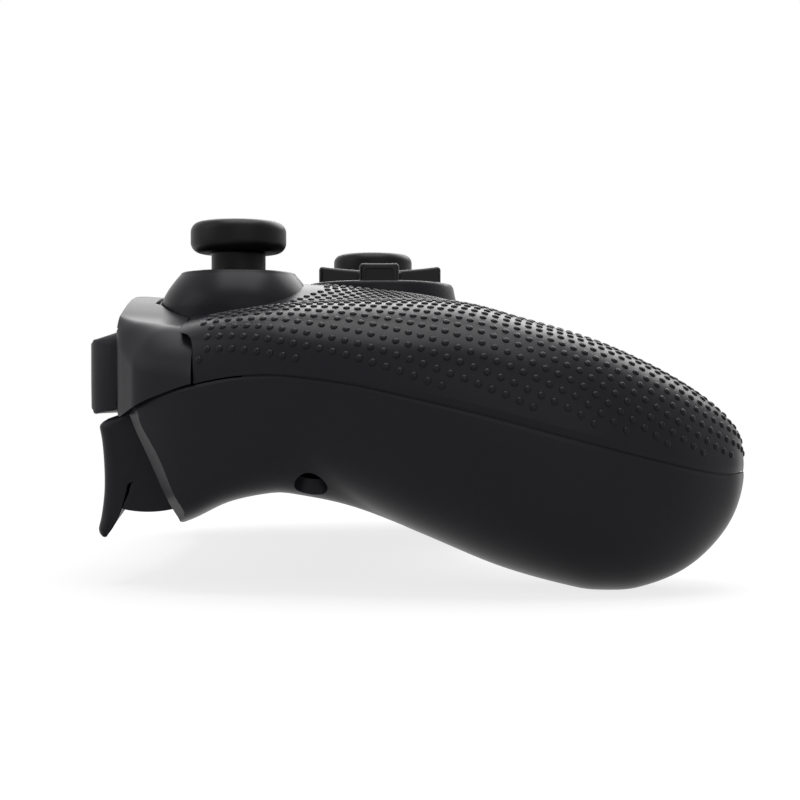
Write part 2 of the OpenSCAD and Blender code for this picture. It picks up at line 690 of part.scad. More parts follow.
// Rocking cross with dished arms, a stepped end on each arm and four feet for the contacts.
module dpad_cross() {
  r = (dpad_span / 2) ^ 2 / (2 * dpad_dish) + dpad_dish / 2;
  color("#1b1a1e") difference() {
    union() {
      translate([0, 0, flange_z]) linear_extrude(dpad_top_z - flange_z) cross_outline(0);
      translate([0, 0, flange_z]) cylinder(d = dpad_span - 0.4, h = 1.2, $fn = 64);
      for (d = dirs) translate([8 * d[0], 8 * d[1], 38]) cylinder(r = 1.5, h = 7, $fn = 32);
    }
    translate([0, 0, dpad_top_z - dpad_dish + r]) sphere(r = r, $fn = 96);
    translate([0, 0, flange_z - 1]) cylinder(r = 1.6, h = 4, $fn = 32);
    for (a = [0:90:270]) rotate(a) translate([dpad_span / 2 - 0.45, -dpad_arm / 2 + 1.1, pedestal_z + 0.8])
      cube([2, dpad_arm - 2.2, dpad_top_z - pedestal_z - 1.4]);
  }
}

module dpad_carrier() {
  color("#d9d9dc") {
    translate([0, 0, 40]) cylinder(r = 4.2, h = flange_z - 40.4, $fn = 48);
    translate([0, 0, flange_z - 1]) cylinder(r = 1.25, h = 3.4, $fn = 32);
    translate([0, 0, 35.2]) cylinder(r = 2, h = 5, $fn = 32);
  }
}

module dome(h, r) {
  cylinder(r1 = r, r2 = r * 0.62, h = h, $fn = 40);
}

module dpad_membrane() {
  color("#6d6d73") translate([0, 0, board_top]) {
    cylinder(r = 11, h = 0.8, $fn = 64);
    for (d = dirs) translate([8 * d[0], 8 * d[1], 0]) dome(4.2, 3);
    difference() {
      cylinder(r = 4, h = 2.6, $fn = 48);
      translate([0, 0, 0.8]) cylinder(r = 3.2, h = 4, $fn = 48);
    }
  }
}

face_foot = 39;
menu_foot = 40.4;

module press_button(d, top, foot, flange, crown_h) {
  r = d / 2;
  rotate_extrude($fn = 72) polygon([[0, foot], [flange, foot], [flange, foot + 1.2], [r, foot + 1.2],
    [r, top - crown_h], [r * 0.94, top - crown_h * 0.45], [r * 0.76, top - crown_h * 0.15], [0, top]]);
}

module face_button(i) {
  p = face_spot(i);
  color("#1b1a1e") translate(p)
    press_button(face_d, crown_at(p[0], p[1]) + face_rise, face_foot, face_d / 2 + 0.9, 1.5);
}

module face_membrane() {
  color("#6d6d73") translate([0, 0, board_top]) {
    for (i = [0:3]) translate(face_spot(i)) {
      cylinder(r = 4.6, h = 0.8, $fn = 48);
      dome(4.6, 3.6);
    }
    translate([face_x, face_y, 0]) cylinder(r = face_pitch - 1.6, h = 0.8, $fn = 48);
  }
}

module menu_button(side) {
  color("#1b1a1e") translate([side * menu_x, menu_y, 0])
    press_button(menu_d, crown_at(menu_x, menu_y) + 1.2, menu_foot, menu_d / 2 + 0.9, 0.7);
}

module guide_button() {
  color("#1b1a1e") translate([0, guide_y, 0])
    press_button(guide_d, crown_at(0, guide_y) + 1.4, menu_foot, guide_d / 2 + 0.9, 0.8);
}

module guide_ring() {
  color("#e6e6ea") translate([0, guide_y, crown_at(0, guide_y) - 3.2])
    difference() {
      cylinder(r = guide_ring_r - fit, h = 3.4, $fn = 64);
      translate([0, 0, -1]) cylinder(d = guide_d + 2 * play, h = 6, $fn = 64);
    }
}

module centre_membrane() {
  color("#6d6d73") translate([0, 0, board_top]) {
    translate([0, guide_y, 0]) cylinder(r = 6, h = 0.8, $fn = 48);
    translate([0, guide_y, 0]) dome(6.8, 4);
    translate([-menu_x, menu_y - 3, 0]) cube([2 * menu_x, 6, 0.8]);
    translate([-2, menu_y, 0]) cube([4, guide_y - menu_y, 0.8]);
    for (side = [-1, 1]) translate([side * menu_x, menu_y, 0]) dome(6.8, 2.8);
  }
}

module main_board() {
  color("#1f5a3a") translate([0, 0, board_z]) linear_extrude(board_t) difference() {
    polygon([[-47, -4], [-40, -8], [40, -8], [47, -4], [47, 30], [40, 36.6], [33.5, 38.4], [31.8, 40.4], [12, 40.4],
      [12, 43.6], [-12, 43.6], [-12, 40.4], [-31.8, 40.4], [-33.5, 38.4], [-40, 36.6],
      [-47, 30]]);
    for (p = board_spots, m = [-1, 1]) translate([m * p[0], p[1]]) circle(r = 1.1, $fn = 32);
  }
}

module battery() {
  color("#3a4a66") translate([-battery_w / 2, 1.6, rib_top]) cube([battery_w, battery_l, battery_t]);
}

module motor() {
  color("#a8a8ac") translate(motor_at) rotate([0, 90, 0]) {
    cylinder(d = motor_d, h = motor_l, $fn = 64);
    cylinder(r = motor_shaft_r, h = motor_l + 8, $fn = 32);
  }
}

module weight() {
  color("#77777c") translate(motor_at + [motor_l + 1, 0, 0]) rotate([0, 90, 0]) difference() {
    union() {
      intersection() {
        cylinder(r = weight_r, h = 6, $fn = 64);
        translate([0, -10, -1]) cube([20, 20, 8]);
      }
      cylinder(r = motor_shaft_r + 1.4, h = 6, $fn = 48);
    }
    translate([0, 0, -1]) cylinder(r = motor_shaft_r + fit, h = 8, $fn = 32);
  }
}

// Metal shell of the charging socket with its tongue inside.
module usb_port() {
  l = usb_size[1];
  color("#8f8f94") translate([0, front_y - 0.2, board_top]) {
    difference() {
      translate([-usb_size[0] / 2, -l, 0]) cube(usb_size);
      translate([-usb_size[0] / 2 + 0.3, -l + 1, 0.3]) cube([usb_size[0] - 0.6, l, usb_size[2] - 0.6]);
    }
    translate([-3.3, -l + 0.5, 1.25]) cube([6.6, l - 1.2, 0.7]);
  }
}

module headset_jack() {
  color("#17161a") difference() {
    union() {
      translate([-jack_w / 2, jack_face + jack_neck, jack_z - jack_w / 2]) cube([jack_w, 12, jack_w]);
      translate([0, jack_face, jack_z]) rotate([-90, 0, 0]) cylinder(r = 2.8, h = 5, $fn = 64);
    }
    translate([0, jack_face - 1, jack_z]) rotate([-90, 0, 0]) cylinder(d = jack_d, h = 14, $fn = 64);
  }
}

module pair_button() {
  color("#1b1a1e") translate([pair_x, front_y + 0.4, pair_z]) rotate([90, 0, 0]) {
    cylinder(r = pair_r, h = 3.6, $fn = 48);
    translate([0, 0, 3]) cylinder(r = pair_r + 0.9, h = 1, $fn = 48);
  }
}

module bumper_switches() {
  color("#3d3d42") both_sides() {
    translate([stem_x[0], 37.2, board_top]) cube([stem_x[1] - stem_x[0], 2, 5]);
    translate([stem_x[0] + 1.5, 39, stem_z[0] + 0.7]) cube([2, 0.6, 1.6]);
  }
}

module trigger_sensors() {
  color("#2f6f4a") both_sides() {
    translate([trigger_mid - 4, bay_y, 19]) cube([8, 0.6, 7]);
    translate([trigger_mid - 1.5, bay_y + 0.6, 22]) cube([3, 0.3, 2.5]);
  }
}

module shell_screws() {
  color("#9a9a9e") both_sides() for (i = [0, 1]) translate([screw_spots[i][0], screw_spots[i][1], 0])
    difference() {
      union() {
        translate([0, 0, screw_seat[i] - 1.6]) cylinder(r = head_r, h = 1.6, $fn = 48);
        translate([0, 0, screw_seat[i] - 1]) cylinder(d = screw_d, h = post_split[i] + 6.5 - screw_seat[i], $fn = 48);
      }
      for (a = [0, 90]) translate([0, 0, screw_seat[i] - 1.4]) rotate(a) cube([2.6, 0.6, 1.4], center = true);
    }
}

module board_screws() {
  color("#9a9a9e") both_sides() for (p = board_spots) translate([p[0], p[1], 0]) {
    translate([0, 0, board_top]) cylinder(r = 1.9, h = 1.2, $fn = 48);
    translate([0, 0, board_z - 5]) cylinder(r = 0.85, h = board_t + 5.5, $fn = 48);
  }
}

module at_stick(left) {
  translate(left ? left_stick : right_stick) children();
}

module at_dpad() {
  translate([dpad_x, dpad_y, 0]) children();
}

top_shell();
bottom_shell();
front_bezel();
on_side(true) bumper();  // left_bumper
on_side(false) bumper();  // right_bumper
on_side(true) trigger();  // left_trigger
on_side(false) trigger();  // right_trigger
on_side(true) trigger_frame();  // left_trigger_frame
on_side(false) trigger_frame();  // right_trigger_frame
on_side(true) trigger_pin();  // left_trigger_pin
on_side(false) trigger_pin();  // right_trigger_pin
on_side(true) trigger_spring();  // left_trigger_spring
on_side(false) trigger_spring();  // right_trigger_spring
at_stick(true) stick_cap();  // left_stick_cap
at_stick(true) stick_shaft();  // left_stick_shaft
at_stick(true) stick_rocker();  // left_stick_rocker
at_stick(true) stick_gimbal();  // left_stick_gimbal
at_stick(true) stick_base();  // left_stick_base
at_stick(true) stick_sensors();  // left_stick_sensors
at_stick(false) stick_cap();  // right_stick_cap
at_stick(false) stick_shaft();  // right_stick_shaft
at_stick(false) stick_rocker();  // right_stick_rocker
at_stick(false) stick_gimbal();  // right_stick_gimbal
at_stick(false) stick_base();  // right_stick_base
at_stick(false) stick_sensors();  // right_stick_sensors
at_dpad() dpad_cross();
at_dpad() dpad_carrier();
at_dpad() dpad_membrane();
face_button(0);  // button_north
face_button(1);  // button_east
face_button(2);  // button_south
face_button(3);  // button_west
face_membrane();
menu_button(-1);  // back_button
menu_button(1);  // start_button
guide_button();
guide_ring();
centre_membrane();
main_board();
battery();
on_side(true) motor();  // left_motor
on_side(false) motor();  // right_motor
on_side(true) weight();  // left_weight
on_side(false) weight();  // right_weight
usb_port();
headset_jack();
pair_button();
bumper_switches();
trigger_sensors();
shell_screws();
board_screws();
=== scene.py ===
"""Wireless gamepad: its visible pieces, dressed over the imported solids.

Pieces are drawn in millimetres and brought to metres once, when they are finished.
+X is the player's right, +Y the front edge with the triggers, +Z up.
"""
import json
import math

import bmesh
import bpy
import numpy as np
from bpy.props import FloatProperty, FloatVectorProperty, IntProperty, PointerProperty
from bpy.types import Operator, Panel, PropertyGroup
from mathutils import Matrix, Vector


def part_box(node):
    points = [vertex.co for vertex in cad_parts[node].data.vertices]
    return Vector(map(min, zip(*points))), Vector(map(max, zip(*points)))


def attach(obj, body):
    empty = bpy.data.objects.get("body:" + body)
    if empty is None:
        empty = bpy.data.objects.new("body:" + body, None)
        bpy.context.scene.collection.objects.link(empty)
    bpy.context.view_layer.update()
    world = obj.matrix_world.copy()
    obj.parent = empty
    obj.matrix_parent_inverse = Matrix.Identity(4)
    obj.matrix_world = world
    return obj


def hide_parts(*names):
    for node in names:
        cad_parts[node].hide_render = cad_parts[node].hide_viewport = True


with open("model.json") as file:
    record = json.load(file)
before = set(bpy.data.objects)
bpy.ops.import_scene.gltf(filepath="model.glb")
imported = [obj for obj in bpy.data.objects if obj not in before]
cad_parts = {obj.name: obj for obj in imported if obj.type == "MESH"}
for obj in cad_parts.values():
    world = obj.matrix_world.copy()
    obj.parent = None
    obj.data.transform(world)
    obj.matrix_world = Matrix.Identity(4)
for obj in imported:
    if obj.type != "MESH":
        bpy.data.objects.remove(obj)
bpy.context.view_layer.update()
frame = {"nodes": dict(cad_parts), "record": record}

MM = 0.001

bl_info = {
    "name": "Gamepad controller",
    "version": (1, 0, 0),
    "blender": (4, 5, 0),
    "location": "View3D > Sidebar > Gamepad",
    "description": "Builds the visible pieces of a two-grip gamepad over its solids",
    "category": "Add Mesh",
}


def linear(code):
    """An sRGB hex colour as linear red, green, blue and alpha."""
    parts = [int(code[i:i + 2], 16) / 255 for i in (1, 3, 5)]
    return tuple(c / 12.92 if c <= 0.04045 else ((c + 0.055) / 1.055) ** 2.4 for c in parts) + (1.0,)


def length(name, description, mm):
    """A length that a user may change, kept in metres."""
    return FloatProperty(name=name, description=description, default=mm * MM, min=0.0,
                         subtype="DISTANCE", unit="LENGTH", precision=5)


def colour(name, description, code):
    """A colour that a user may change."""
    return FloatVectorProperty(name=name, description=description, default=linear(code), size=4,
                               min=0.0, max=1.0, subtype="COLOR")


class GamepadSizes(PropertyGroup):
    """Sizes of the details that the solids leave to this script."""
    seam_band: length("Seam band", "Height of the tucked band along the parting line", 1.0)
    seam_tuck: length("Seam tuck", "How far that band falls back at the parting line", 0.38)
    dot_pitch: length("Dot pitch", "Distance from dot to dot along a row", 2.06)
    dot_rows: length("Row distance", "Distance from row to row of dots", 2.2)
    dot_diameter: length("Dot diameter", "Diameter of one grip dot", 1.14)
    dot_height: length("Dot height", "Height of one grip dot over the shell", 0.27)
    dot_margin: length("Dot margin", "Least distance of a dot from bosses and edges", 1.5)
    edge_round: length("Edge round", "Rounding of the edges of the bumpers", 0.4)
    dot_sides: IntProperty(name="Dot sides", description="Sides of one grip dot", default=10, min=6, max=16)


class GamepadColours(PropertyGroup):
    """Colours of the mouldings."""
    shell: colour("Shell", "Moulded shells with their grip dots", "#17161a")
    shoulder: colour("Shoulder", "Shoulder housings, bumpers and triggers", "#18171b")
    button: colour("Buttons", "Buttons and D-pad", "#111114")
    rubber: colour("Stick rubber", "Caps of the thumbsticks", "#0b0b0d")
    board: colour("Board", "Solder mask of the circuit boards", "#1c5637")
    wrap: colour("Battery wrap", "Shrink wrap of the battery", "#3a4a66")
    floor: colour("Floor", "Studio floor", "#f2f2f2")


def sizes():
    return bpy.context.scene.gamepad_sizes


def colours():
    return bpy.context.scene.gamepad_colours


# Outline of the housing from above, right half: outer and inner edge, paired from the middle
# of the pad to the tip of the grip. They are the rails of the solids.
OUTER_RAIL = [(0, 51.6), (16, 51.6), (32, 51.6), (46, 50), (57, 45.6), (64.5, 37.6), (69.3, 26.6),
              (73, 15), (75.5, 3), (76.5, -9), (76, -20), (73.5, -30.6), (69, -40.2), (62.5, -48),
              (57.5, -50.9), (54, -51.65)]
INNER_RAIL = [(0, -14), (7, -14.1), (14, -14.7), (20, -15.9), (25, -17.9), (28.5, -20.5), (31, -23),
              (33, -25.5), (35, -28.5), (36.8, -31.8), (38.5, -35.2), (40.5, -39), (43, -43.2),
              (46.8, -48), (50.5, -50.9), (54, -51.65)]
# Side views, (y, z): crown and belly of the grips, rise of the face, parting line.
CROWN = [(-51.65, 18.6), (-51.05, 23.4), (-49.55, 25.7), (-43.85, 30.4), (-35.95, 34.8), (-26.95, 38.65),
         (-16.55, 41.8), (-7, 44.35), (5, 44.8), (20, 44.2), (30, 43), (37, 41.7), (60, 38)]
BELLY = [(-51.65, 18.6), (-50.9, 13.7), (-47.05, 7.3), (-41.35, 2.8), (-34.2, 0.3), (-29.95, 0),
         (-25.1, 0.4), (-13.5, 3.5), (-1.1, 8.5), (9.8, 12.8), (18.3, 14.7), (21.5, 14.9), (28.5, 13.4),
         (34.4, 10.5), (60, 0)]
RISE = [(-30, 0), (-15, 0.03), (-7, 0.31), (5, 0.63), (18, 1), (30, 1.1), (37, 1.25), (60, 1.6)]
PARTING = [(-60, 18), (-51.65, 18.1), (-45.7, 18.1), (-35.9, 20.2), (-23.4, 23.4), (-9.4, 27.15), (3.5, 30.2),
           (9, 31.4), (18.3, 32.65), (22.8, 32.8), (27.5, 32.5), (32.7, 31.55), (39.1, 30), (44.4, 27.5),
           (60, 18.4)]
# How square the sections are along the pad: (start, end, change) of each soft step, from a near box.
BOX_POWER = 5
UPPER_ROUNDING = [(3, 8, -2.7)]
LOWER_ROUNDING = [(3.6, 4.6, 4), (4.6, 6.8, -6.4), (6.8, 9, -0.4)]
TIP_Y = -51.65
FACE_RISE = 4.3
BELLY_Z = 14.7
WALL = 2.2
# Half the seam between fixed mouldings, and the play round what moves.
HALF_GAP, PLAY = 0.15, 0.4
LOWER_BAND, LOWER_TUCK = 0.45, 0.16
PLATE_X, PLATE_Y, PLATE_CUT, GROOVE_Y, FRONT_Y = 49.0, 42.1, 7.1, 35.6, 46.5
STICK_PIVOT_Z = 39.4
BOSS_RIM_R, BOSS_RIM_Z, BOSS_BASE_R, BOSS_FOOT, BOSS_RISE = 9.3, 50.3, 12.9, 41.0, 6.2
STICK_HOLE_R, DOME_ROOM = 8.3, 10.7
PEDESTAL_R, PEDESTAL_Z = 12.9, 49.6
DPAD_HALF, DPAD_ARM, DPAD_PLAY = 10.7, 3.4, 0.5
# How far a button's flange stands out under its cap.
FLANGE = 0.9
BAY_Y, BAY_TOP, BAY_WALL = 23.2, 30.0, 2
PIVOT = (41.7, 29.8)
DRUM_R = 18.2
EDGE_ROLL, BUMPER_ROLL = 2.2, 3.2
BUMPER_X = (24.9, 53.6)
SLANT_LOW, SLANT_HIGH = (35.9, 11.2), (44, 27.2)
# Screw recesses of the right half: place from above, and height of the seat.
SCREWS = [((65, 15.4), 21.0), ((51, -37), 8.0)]
HEAD_R, SHANK_R = 2.2, 1.4
JACK_AT, JACK_R, PAIR_R = (0, -5, 21), 3.1, 2.2
SIGNS = (-1, 1)
SIDES = (("left", -1), ("right", 1))
# Well outside the pad, for what is cut away.
FAR = 90


def spot(node):
    """Middle of a node's box in millimetres."""
    low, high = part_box(node)
    return (low + high) / 2 / MM


def top_of(node):
    """Height of a node's top in millimetres."""
    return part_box(node)[1].z / MM


def reach(node):
    """From where to where a node goes across the pad, in millimetres."""
    low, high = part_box(node)
    return low.x / MM, high.x / MM


def half_width(node):
    """Half of what a node measures across the pad, in millimetres."""
    low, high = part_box(node)
    return (high.x - low.x) / MM / 2


def hermite(table, u):
    """Smooth curve through a table of (u, value)."""
    p = np.asarray(table, float)
    last = len(p) - 1
    k = np.arange(len(p))
    a, b = np.maximum(k - 1, 0), np.minimum(k + 1, last)
    slope = (p[b, 1] - p[a, 1]) / (p[b, 0] - p[a, 0])
    u = np.asarray(u, float)
    i = np.clip(np.searchsorted(p[:, 0], u, side="right") - 1, 0, last - 1)
    h = p[i + 1, 0] - p[i, 0]
    t = (u - p[i, 0]) / h
    return ((2 * t**3 - 3 * t**2 + 1) * p[i, 1] + (t**3 - 2 * t**2 + t) * slope[i] * h
            + (3 * t**2 - 2 * t**3) * p[i + 1, 1] + (t**3 - t**2) * slope[i + 1] * h)


def root(y):
    """The grip's end is round, so its side curves run over the root of the distance from the tip."""
    return np.sqrt(np.maximum(np.asarray(y, float) - TIP_Y, 0))


CROWN_U = [(float(root(y)), z) for y, z in CROWN]
BELLY_U = [(float(root(y)), z) for y, z in BELLY]


def step01(a, b, v):
    """Soft step from 0 at a to 1 at b."""
    t = np.clip((np.asarray(v, float) - a) / (b - a), 0, 1)
    return t * t * (3 - 2 * t)


def rail(points, far, t):
    """Point at t on a smooth rail, which goes over into the far rail at the tip of the grip."""
    p, f = np.asarray(points, float), np.asarray(far, float)
    i = np.minimum(np.floor(t).astype(int), len(p) - 2)
    u = (t - i)[..., None]
    a = np.vstack([[-p[1, 0], p[1, 1]], p])[i]
    b, c, d = p[i], p[i + 1], np.vstack([p, f[-2]])[i + 2]
    return 0.5 * (2 * b + (c - a) * u + (2 * a - 5 * b + 4 * c - d) * u**2 + (3 * b - a - 3 * c + d) * u**3)


def crown_at(x, y):
    """Height of the upper skin on its crest: the grips' crown, and the face that rises between them."""
    return hermite(CROWN_U, root(y)) + FACE_RISE * hermite(RISE, y) * step01(54, 36, np.abs(x))


def belly_at(x, y):
    """Height of the lower skin at its lowest: level in the middle, down to the belly of the grips."""
    grip = step01(24, 44, np.abs(x))
    return BELLY_Z + (hermite(BELLY_U, root(y)) - BELLY_Z) * grip


def section_power(t, up):
    """How square a section is: nearly a box at the slanted front edge, round along the grips."""
    steps = UPPER_ROUNDING if up else LOWER_ROUNDING
    return sum((change * step01(a, b, t) for a, b, change in steps), BOX_POWER)


def skin(t, s, up, inset=0.0, lift=0.0, tuck=0.0):
    """Points of the housing's skin: t along the pad, s across it, above or below the parting line."""
    t, s = np.broadcast_arrays(np.asarray(t, float), np.asarray(s, float))
    a, b = rail(OUTER_RAIL, INNER_RAIL, t), rail(INNER_RAIL, OUTER_RAIL, t)
    n = (a - b) / np.linalg.norm(a - b, axis=-1, keepdims=True)
    o, i = a - n * inset, b + n * inset
    p = i + (o - i) * ((s + 1) / 2)[..., None]
    zp = hermite(PARTING, p[..., 1]) + lift
    power = section_power(t, up)
    z = crown_at(p[..., 0], p[..., 1]) - inset if up else belly_at(p[..., 0], p[..., 1]) + inset
    z = zp + (z - zp) * (1 - np.minimum(np.abs(s), 1) ** power) ** (1 / power)
    p = p - n * (np.sign(s) * tuck)[..., None]
    return np.concatenate([p, z[..., None]], -1)


def band_section(t, up, steps, band, tuck):
    """Values of s across one section with a tucked band at both seams, and the tuck at each."""
    middle = skin(t, 0.0, up)
    seam = float(hermite(PARTING, middle[1]))
    height = max(abs(float(middle[2]) - seam), 1e-3)
    power = float(section_power(t, up))
    band = min(band, 0.3 * height)
    at = [(1 - (k * band / height) ** power) ** (1 / power) for k in (0.85, 1.0, 1.2)]
    half = [1.0, at[0], at[1]] + [at[2] * math.sin(math.radians(90 * k / steps)) for k in range(steps, 0, -1)]
    fall = [tuck, tuck * 0.15, 0.0] + [0.0] * steps
    return np.array(half + [0.0] + [-v for v in half[::-1]]), np.array(fall + [0.0] + fall[::-1])


def mesh_piece(name, points, faces):
    """A closed mesh in millimetres, with its faces turned outwards."""
    mesh = bpy.data.meshes.new(name)
    mesh.from_pydata([tuple(p) for p in points], [], [tuple(f) for f in faces])
    bm = bmesh.new()
    bm.from_mesh(mesh)
    bmesh.ops.remove_doubles(bm, verts=bm.verts, dist=1e-5)
    bmesh.ops.recalc_face_normals(bm, faces=bm.faces)
    bm.to_mesh(mesh)
    bm.free()
    piece = bpy.data.objects.new(name, mesh)
    bpy.context.scene.collection.objects.link(piece)
    return piece


def loft(name, rings):
    """Closed solid over a row of rings with the same number of points."""
    rings = np.asarray(rings)
    rows, n = rings.shape[:2]
    faces = [list(range(n)), [(rows - 1) * n + k for k in range(n)]]
    for j in range(rows - 1):
        for k in range(n):
            a, m = j * n, (k + 1) % n
            faces.append([a + k, a + m, a + n + m, a + n + k])
    return mesh_piece(name, rings.reshape(-1, 3), faces)


def both_ways(rows):
    """Rows of the right half, mirrored in front of themselves."""
    rows = np.asarray(rows)
    return np.concatenate([rows[:0:-1] * (-1, 1, 1), rows])


# Sections of the housing, from the middle to the tip, and the steps across half of one.
SECTION_STEPS = 24
STATIONS = np.concatenate([np.linspace(0, 4, 21), np.linspace(4.12, 12, 64), np.linspace(12.1, 14, 20),
                           14 + np.array([0.14, 0.28, 0.4, 0.5, 0.6, 0.68, 0.76, 0.83, 0.89, 0.94, 0.975])])


def half_body(name, up, band, tuck):
    """Upper or lower half of the housing as a solid, with the tucked band along its seam."""
    rings = []
    for t in STATIONS:
        s, fall = band_section(t, up, SECTION_STEPS, band, tuck)
        rings.append(skin(t, s, up, lift=HALF_GAP if up else -HALF_GAP, tuck=fall))
    return loft(name, both_ways(rings))


def body_hollow(name):
    """Room inside the housing, a wall's thickness within its skin."""
    rings = []
    steps = 14
    turn = np.sin(np.radians(90 * np.arange(steps, -steps - 1, -1) / steps))
    for t in np.concatenate([np.linspace(0, 12, 49), np.linspace(12.2, 13.5, 8)]):
        rings.append(np.concatenate([skin(t, turn, True, WALL), skin(t, turn[-2:0:-1], False, WALL)]))
    return loft(name, both_ways(rings))


def prism(name, outline, low, high, axes="yzx"):
    """Outline in the first two axes, drawn out along the third."""
    order = [axes.index(c) for c in "xyz"]
    points = [np.array((u, v, w))[order] for w in (low, high) for u, v in outline]
    n = len(outline)
    faces = [list(range(n)), list(range(n, 2 * n))]
    faces += [[k, (k + 1) % n, n + (k + 1) % n, n + k] for k in range(n)]
    return mesh_piece(name, points, faces)


def block(name, low, high):
    return prism(name, [(low[0], low[1]), (high[0], low[1]), (high[0], high[1]), (low[0], high[1])],
                 low[2], high[2], "xyz")


def revolve(name, profile, sides, at=(0.0, 0.0)):
    """Profile of (radius, height) turned about a vertical axis."""
    points, rings = [], []
    for r, z in profile:
        if r < 1e-6:
            rings.append([len(points)] * sides)
            points.append((at[0], at[1], z))
        else:
            rings.append(list(range(len(points), len(points) + sides)))
            points += [(at[0] + r * math.cos(2 * math.pi * k / sides),
                        at[1] + r * math.sin(2 * math.pi * k / sides), z) for k in range(sides)]
    faces = []
    for a, b in zip(rings, rings[1:]):
        for k in range(sides):
            m = (k + 1) % sides
            loop = [a[k], a[m], b[m], b[k]]
            face = [v for i, v in enumerate(loop) if v not in loop[:i]]
            if len(face) > 2:
                faces.append(face)
    return mesh_piece(name, points, faces)


def cylinder(name, r, low, high, sides, at=(0.0, 0.0)):
    return revolve(name, [(0, low), (r, low), (r, high), (0, high)], sides, at)


def hole_along_y(name, r, low, high, at):
    """Round hole that runs from front to rear through a place."""
    hole = cylinder(name, r, low, high, 48)
    hole.data.transform(Matrix.Translation(at) @ Matrix.Rotation(math.radians(90), 4, "X"))
    return hole


def side_prism(name, outline, side, x0, x1):
    """Side view of (y, z), drawn out between two distances from the middle on one side."""
    return prism(name, outline, *sorted((side * x0, side * x1)))


def side_block(name, side, low, high):
    """Block on one side of the pad, given for the right one."""
    x0, x1 = sorted((side * low[0], side * high[0]))
    return block(name, (x0, *low[1:]), (x1, *high[1:]))


def combine(piece, tool, operation="DIFFERENCE"):
    """Cuts or joins the tool with the piece and removes the tool."""
    cut = piece.modifiers.new("combine", "BOOLEAN")
    cut.operation, cut.object, cut.solver = operation, tool, "MANIFOLD"
    keep_evaluated(piece)
    mesh = tool.data
    bpy.data.objects.remove(tool)
    bpy.data.meshes.remove(mesh)
    return piece


def keep_evaluated(piece):
    """Turns a piece with modifiers into a plain mesh."""
    graph = bpy.context.evaluated_depsgraph_get()
    mesh = bpy.data.meshes.new_from_object(piece.evaluated_get(graph))
    if not mesh.polygons:
        raise RuntimeError(f"{piece.name} came out empty")
    old = piece.data
    piece.modifiers.clear()
    piece.data = mesh
    bpy.data.meshes.remove(old)
    return piece


def soften(piece, width, segments=3, angle=38):
    """Rounds the edges of a piece that turn more than the angle."""
    bevel = piece.modifiers.new("soften", "BEVEL")
    bevel.width, bevel.segments = width, segments
    bevel.limit_method, bevel.angle_limit = "ANGLE", math.radians(angle)
    bevel.use_clamp_overlap = False
    return keep_evaluated(piece)


def arc(centre, radius, start, end, count):
    """Points on an arc, angles in degrees."""
    return [(centre[0] + radius * math.cos(math.radians(a)), centre[1] + radius * math.sin(math.radians(a)))
            for a in np.linspace(start, end, count)]


def rounded(outline, radius, count=5):
    """Closed outline with its corners rounded."""
    p = [Vector(q) for q in outline]
    out = []
    for i, corner in enumerate(p):
        a, b = p[i - 1] - corner, p[(i + 1) % len(p)] - corner
        turn = a.angle(b)
        back = min(radius / math.tan(turn / 2), 0.48 * a.length, 0.48 * b.length)
        start, end = corner + a.normalized() * back, corner + b.normalized() * back
        for k in range(count):
            u = k / (count - 1)
            out.append(tuple((1 - u) ** 2 * start + 2 * u * (1 - u) * corner + u ** 2 * end))
    return out


def smooth_line(points, count=6):
    """Open line that runs smoothly through the points."""
    p = np.asarray(points, float)
    p = np.vstack([2 * p[0] - p[1], p, 2 * p[-1] - p[-2]])
    out = []
    for i in range(1, len(p) - 2):
        a, b, c, d = p[i - 1:i + 3]
        for u in np.linspace(0, 1, count, endpoint=False):
            out.append(0.5 * (2 * b + (c - a) * u + (2 * a - 5 * b + 4 * c - d) * u**2
                              + (3 * b - a - 3 * c + d) * u**3))
    return [tuple(q) for q in out] + [tuple(p[-2])]


def complete(piece, body, material, stands_for=(), sharp=32):
    """Brings a finished piece to metres, shades it, and lets it ride on its body."""
    mesh = piece.data
    mesh.transform(Matrix.Scale(MM, 4))
    bm = bmesh.new()
    bm.from_mesh(mesh)
    bmesh.ops.remove_doubles(bm, verts=bm.verts, dist=1e-7)
    bmesh.ops.dissolve_degenerate(bm, edges=bm.edges, dist=1e-7)
    bm.to_mesh(mesh)
    bm.free()
    mesh.shade_smooth()
    mesh.set_sharp_from_angle(angle=math.radians(sharp))
    mesh.materials.clear()
    mesh.materials.append(material)
    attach(piece, body)
    if stands_for:
        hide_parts(*stands_for)
    return piece


def add(tree, kind, inputs=None, **settings):
    """One node with its settings; an input is a value or the socket that feeds it."""
    node = tree.nodes.new(kind)
    for key, value in settings.items():
        setattr(node, key, value)
    for key, value in (inputs or {}).items():
        if isinstance(value, bpy.types.NodeSocket):
            tree.links.new(value, node.inputs[key])
        else:
            node.inputs[key].default_value = value
    return node


def new_material(name):
    """A material whose nodes are still to come."""
    material = bpy.data.materials.new(name)
    material.use_nodes = True
    material.node_tree.nodes.clear()
    return material


